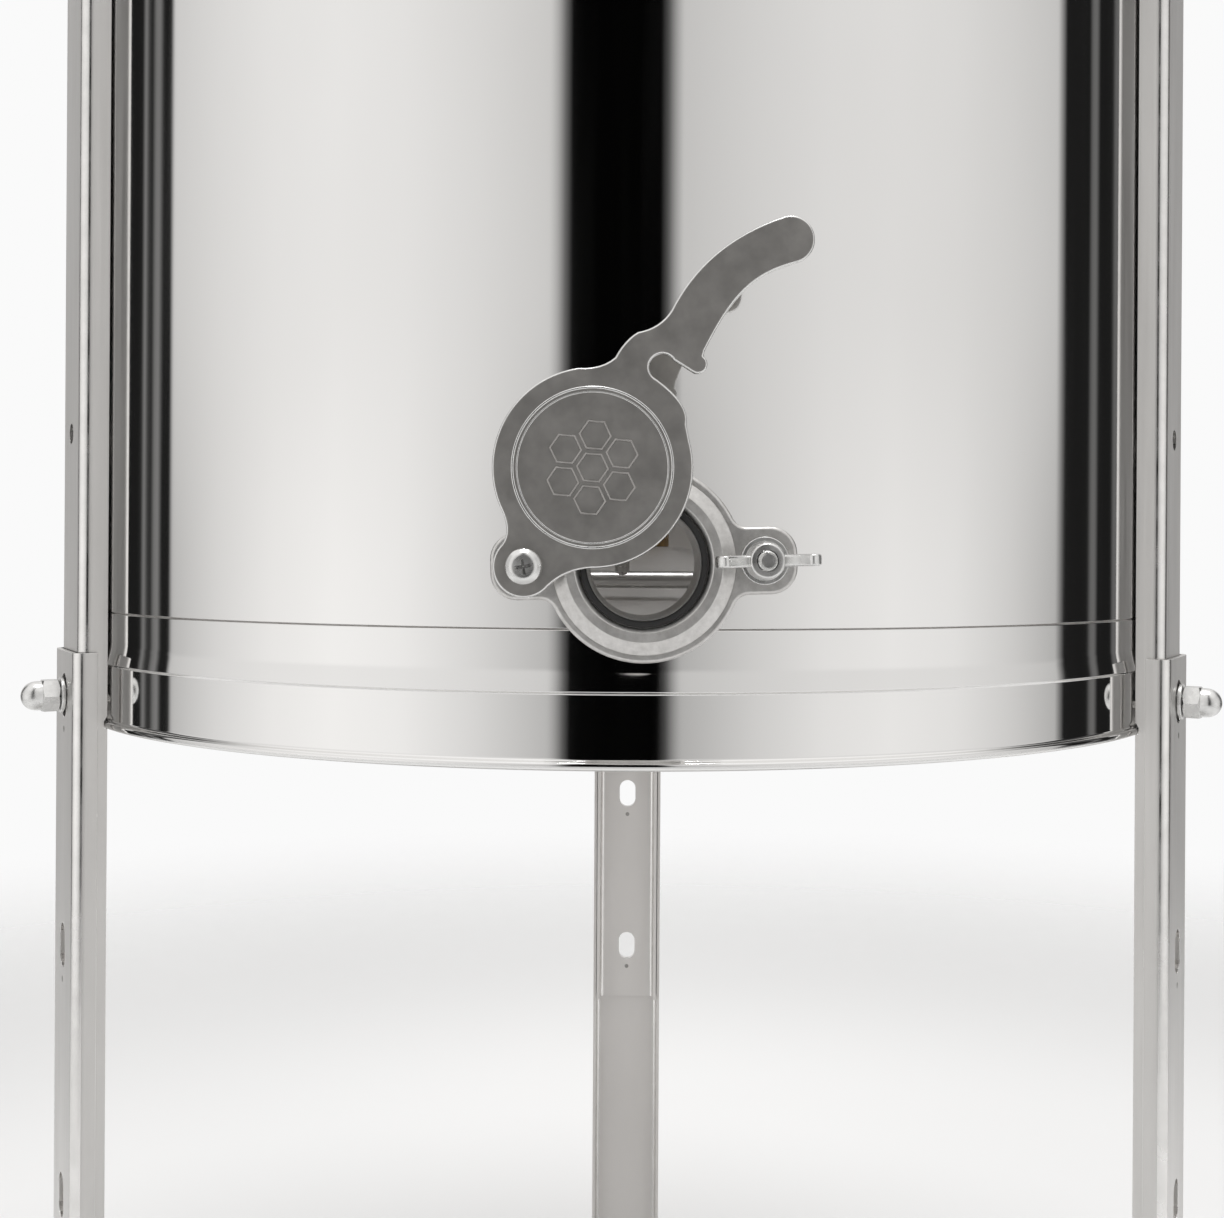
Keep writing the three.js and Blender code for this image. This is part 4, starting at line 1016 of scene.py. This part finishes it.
def lids():
    for side in ("rear", "front"):
        body = f"lid_{side}"
        refined(body, body, ACRYLIC, 0.5)
        pin_low, pin_high = corners_of(f"lid_pin_{side}")
        centre = centre_of(f"lid_pin_{side}")
        pin_place = Matrix.Translation((0, centre.y, centre.z)) @ ALONG_X
        profile = rod(3, pin_low.x, pin_high.x, 0.6)
        turned(f"lid_pin_{side}", profile, pin_place, "frame", BRIGHT_AND_HIGHLIGHT, 32)
        knob_low, knob_high = corners_of(f"lid_knob_{side}")
        knob = centre_of(f"lid_knob_{side}")
        base = knob_low.z
        turned(f"lid_knob_{side}", rounded([
            (0, base, 0), (8, base, 1), (5, base + 6, 5), (9, base + 10, 3),
            (10, base + 14, 3), (7, base + 18, 3), (0, knob_high.z, 0),
        ], steps=6), Matrix.Translation((knob.x, knob.y, 0)), body, PLASTIC, 48)


CAGE_HALF = 165
CAGE_BOTTOM = 514
CAGE_TOP = 1050
SPIDER_BOTTOM = 562
SCREEN_DISTANCE = 157
SCREEN_WIDTH = 296


def bar(start, end, radius):
    return swept("bar", [start, end], radius, closed=False, sides=12)


def cage():
    half = CAGE_HALF
    bend = 8
    corners = [(half, half), (-half, half), (-half, -half), (half, -half)]
    square = rounded([(x, y, bend) for x, y in corners])
    rods = []
    for z in (CAGE_BOTTOM, (CAGE_BOTTOM + CAGE_TOP) / 2, CAGE_TOP):
        rods.append(swept("hoop", [(x, y, z) for x, y in square], 3.5, sides=12))
    for i, (x, y) in enumerate(corners):
        beyond = corners[(i + 1) % 4]
        middle = ((x + beyond[0]) / 2, (y + beyond[1]) / 2)
        inset = (half - 2.5) / half
        rods.append(bar((x * inset, y * inset, CAGE_BOTTOM), (x * inset, y * inset, CAGE_TOP), 4))
        rods.append(bar((*middle, CAGE_BOTTOM), (*middle, CAGE_TOP), 3))
        for z in (SPIDER_BOTTOM, CAGE_TOP):
            start = (x * 0.1, y * 0.1, z)
            rods.append(bar(start, (x * inset, y * inset, z), 3.8))
    for z in (SPIDER_BOTTOM, CAGE_TOP):
        rods.append(lathe("hub", rounded([
            (8.35, z - 12, 0.6), (22, z - 12, 1.5), (22, z + 12, 1.5), (8.35, z + 12, 0.6),
        ]), segments=64))
    finished(joined("basket_cage_rods", rods), "basket", BRUSHED, ["basket_cage"])


def woven_screen(number):
    """Square woven wire in a round-wire border, standing on one side of the basket."""
    half = SCREEN_WIDTH / 2
    bottom = SPIDER_BOTTOM + 12
    top = CAGE_TOP - 12
    wire = 0.7
    middle = SCREEN_DISTANCE - 1
    columns = 22
    rows = 34
    pitch_x = SCREEN_WIDTH / columns
    pitch_z = (top - bottom) / rows
    place = DRUM @ Matrix.Rotation(math.radians(90 * number), 4, "Z")
    pieces = []
    for count, others, phase in ((columns, rows, 1), (rows, columns, -1)):
        for line in range(1, count):
            path = []
            for step in range(2 * others + 1):
                side = phase * math.sin(math.pi * (step / 2 + line))
                column, row = (line, step / 2) if phase == 1 else (step / 2, line)
                path.append((-half + column * pitch_x, middle + wire * side, bottom + row * pitch_z))
            pieces.append(swept("wire", path, wire, place, closed=False, sides=6))
    border = rounded([(-half, bottom, 6), (half, bottom, 6), (half, top, 6), (-half, top, 6)], steps=5)
    pieces.append(swept("border", [(x, middle, z) for x, z in border], 2.2, place, sides=10))
    finished(joined(f"basket_screen_woven_{number}", pieces), "basket", BRUSHED,
             [f"basket_screen_{number}"])


def basket():
    low, high = corners_of("basket_shaft")
    turned("basket_shaft", rod(8, low.z, high.z, 1), DRUM, "basket", BRUSHED)
    cage()
    for number in (1, 2, 3, 4):
        woven_screen(number)


# ---- studio ----

# The room round the drum, in degrees from the camera's side, positive to the right, with brightness
# from 0 to 1: a dark gap behind the camera, a tall soft panel on each side of it, narrow strip cards
# in the dark beyond, and a pale wall behind the drum.
PAPER = 0.956
BLACK = 0.001
DARK = 0.012
WALL = 0.75
STRIP = 0.22
OVERHEAD = 1.0
WARMTH = 0.012
LEFT_POWER = 1.03
RIGHT_POWER = 0.94
GAP_LEFT = -10.6
GAP_RIGHT = 8
GAP_SOFTNESS = 3
PANEL_LEFT = -101.5
PANEL_RIGHT = 96.5
WALL_LEFT = -120
WALL_RIGHT = 126
UPPER_PANEL = {"edge": 0.66, "middle": 0.87}
LOWER_PANEL = {"edge": 0.52, "middle": 0.97}


def panel_stops(start, end, power, edge, middle):
    """A soft panel from start to end degrees, brightest halfway."""
    steps = 6
    stops = []
    for step in range(steps + 1):
        share = math.sin(math.pi * step / steps)
        stops.append((start + (end - start) * step / steps, power * (edge + (middle - edge) * share)))
    return stops


def strip_stops(centre, width, brightness):
    """A narrow card in the dark."""
    half = width / 2
    blur = 0.6
    return [
        (centre - half - blur, DARK), (centre - half, brightness),
        (centre + half, brightness), (centre + half + blur, DARK),
    ]


def room_stops(panel):
    """The left and the right half of the room, with its soft panels."""
    left = [(-180, WALL), (WALL_LEFT - 8, WALL * 0.9), (WALL_LEFT, DARK)]
    left += strip_stops(-112.4, 1.6, STRIP) + strip_stops(-107.5, 1.4, STRIP)
    left.append((PANEL_LEFT - 1, DARK))
    left += panel_stops(PANEL_LEFT, GAP_LEFT - GAP_SOFTNESS, LEFT_POWER, **panel)
    left += [(GAP_LEFT, BLACK), (0, BLACK)]
    right = [(0, BLACK), (GAP_RIGHT, BLACK)]
    right += panel_stops(GAP_RIGHT + GAP_SOFTNESS, PANEL_RIGHT, RIGHT_POWER, **panel)
    right.append((PANEL_RIGHT + 1, DARK))
    right += strip_stops(109, 1, STRIP) + strip_stops(121, 6, STRIP * 0.6)
    right += [(WALL_RIGHT, DARK), (WALL_RIGHT + 8, WALL * 0.9), (180, WALL)]
    return left, right


def overhead_stops():
    """The ceiling: bright all round except over the gap."""
    left = [(-180, OVERHEAD), (GAP_LEFT - GAP_SOFTNESS, OVERHEAD), (GAP_LEFT, BLACK), (0, BLACK)]
    right = [(0, BLACK), (GAP_RIGHT, BLACK), (GAP_RIGHT + GAP_SOFTNESS, OVERHEAD), (180, OVERHEAD)]
    return left, right


def studio_world():
    world = bpy.data.worlds.new("studio")
    bpy.context.scene.world = world
    world.use_nodes = True
    nodes = world.node_tree.nodes
    links = world.node_tree.links
    nodes.clear()

    def math_node(operation, first, second=None):
        node = nodes.new("ShaderNodeMath")
        node.operation = operation
        for socket, value in zip(node.inputs, (first, second)):
            if value is None:
                continue
            if isinstance(value, (int, float)):
                socket.default_value = value
            else:
                links.new(value, socket)
        return node.outputs[0]

    def mixed(factor, first, second):
        mix = nodes.new("ShaderNodeMix")
        mix.data_type = "RGBA"
        links.new(factor, mix.inputs["Factor"])
        for socket, value in ((mix.inputs["A"], first), (mix.inputs["B"], second)):
            if isinstance(value, tuple):
                socket.default_value = value
            else:
                links.new(value, socket)
        return mix.outputs["Result"]

    direction = nodes.new("ShaderNodeSeparateXYZ")
    links.new(nodes.new("ShaderNodeTexCoord").outputs["Generated"], direction.inputs[0])
    towards_front = math_node("MULTIPLY", direction.outputs["Y"], -1)
    azimuth = math_node("ARCTAN2", direction.outputs["X"], towards_front)
    around = math_node("MULTIPLY_ADD", azimuth, 0.5 / math.pi)
    nodes[around.node.name].inputs[2].default_value = 0.5
    elevation = math_node("ARCSINE", direction.outputs["Z"])

    def half_band(stops):
        ramp = nodes.new("ShaderNodeValToRGB")
        elements = ramp.color_ramp.elements
        while len(elements) < len(stops):
            elements.new(0.5)
        for element, (degrees, shade) in zip(elements, stops):
            element.position = (degrees + 180) / 360
            element.color = (shade * (1 + WARMTH), shade, shade * (1 - WARMTH), 1)
        links.new(around, ramp.inputs["Fac"])
        return ramp.outputs["Color"]

    def band(left, right):
        """A ramp holds 32 stops, so the left and the right half have one each."""
        return mixed(math_node("GREATER_THAN", around, 0.5), half_band(left), half_band(right))

    def blend(low, high, start, end):
        """Mixes from low to high as the elevation goes from start to end degrees."""
        span = nodes.new("ShaderNodeMapRange")
        span.interpolation_type = "SMOOTHSTEP"
        span.inputs["From Min"].default_value = math.radians(start)
        span.inputs["From Max"].default_value = math.radians(end)
        links.new(elevation, span.inputs["Value"])
        return mixed(span.outputs["Result"], low, high)

    sides = blend(band(*room_stops(LOWER_PANEL)), band(*room_stops(UPPER_PANEL)), -3, 11)
    ceiling = blend(band(*overhead_stops()), (1.25, 1.25, 1.25, 1), 70, 84)
    room = blend(sides, ceiling, 30, 50)
    camera_ray = nodes.new("ShaderNodeLightPath").outputs["Is Camera Ray"]
    seen = mixed(camera_ray, room, (PAPER, PAPER, PAPER, 1))
    background = nodes.new("ShaderNodeBackground")
    links.new(seen, background.inputs["Color"])
    output = nodes.new("ShaderNodeOutputWorld")
    links.new(background.outputs[0], output.inputs["Surface"])


def studio_floor():
    radius = 2200
    floor = lathe("studio_floor", [(0, -0.5), (radius, -0.5), (radius, -3), (0, -3)], segments=96)
    material = bpy.data.materials.new("pale_floor")
    material.use_nodes = True
    nodes = material.node_tree.nodes
    links = material.node_tree.links
    shader = nodes["Principled BSDF"]
    shader.inputs["Base Color"].default_value = (0.71, 0.71, 0.71, 1)
    shader.inputs["Roughness"].default_value = 0.9
    shader.inputs["Specular IOR Level"].default_value = 0.0
    place = nodes.new("ShaderNodeNewGeometry")
    away = nodes.new("ShaderNodeVectorMath")
    away.operation = "LENGTH"
    links.new(place.outputs["Position"], away.inputs[0])
    fade = nodes.new("ShaderNodeMapRange")
    fade.interpolation_type = "SMOOTHSTEP"
    fade.inputs["From Min"].default_value = 0.7
    fade.inputs["From Max"].default_value = radius * MM * 0.97
    links.new(away.outputs["Value"], fade.inputs["Value"])
    clear = nodes.new("ShaderNodeBsdfTransparent")
    mix = nodes.new("ShaderNodeMixShader")
    links.new(fade.outputs["Result"], mix.inputs["Fac"])
    links.new(shader.outputs[0], mix.inputs[1])
    links.new(clear.outputs[0], mix.inputs[2])
    links.new(mix.outputs[0], nodes["Material Output"].inputs["Surface"])
    floor.data.materials.append(material)


def studio_camera():
    """Close in front of the gate, level, a little above the gate and looking along +Y."""
    distance = 2.95 * DRUM_RADIUS
    height = 524.6
    data = bpy.data.cameras.new("camera")
    data.sensor_fit = "HORIZONTAL"
    data.sensor_width = 36
    data.lens = 43.53
    data.shift_x = -0.0084
    data.shift_y = -0.0453
    data.clip_start = 0.01
    camera = linked("camera", data)
    camera.location = Vector((AXIS.x, AXIS.y - distance, height)) * MM
    camera.rotation_euler = (math.radians(90), -0.006, 0)
    bpy.context.scene.camera = camera


def overhead_light():
    data = bpy.data.lights.new("overhead", "AREA")
    data.shape = "DISK"
    data.size = 1.0
    data.energy = 60
    linked("overhead", data).location = (0, 0, 3.4)


studio_camera()
studio_world()
studio_floor()
overhead_light()
bpy.context.scene.view_settings.view_transform = "Standard"
drum_wall()
tank_ring()
tank_floor()
for leg_side in LEG_ANGLES:
    leg(leg_side)
gate_neck()
gate_body()
gate_cover()
pivot_screw()
clamp()
bearings()
crossbar()
drive()
lids()
basket()
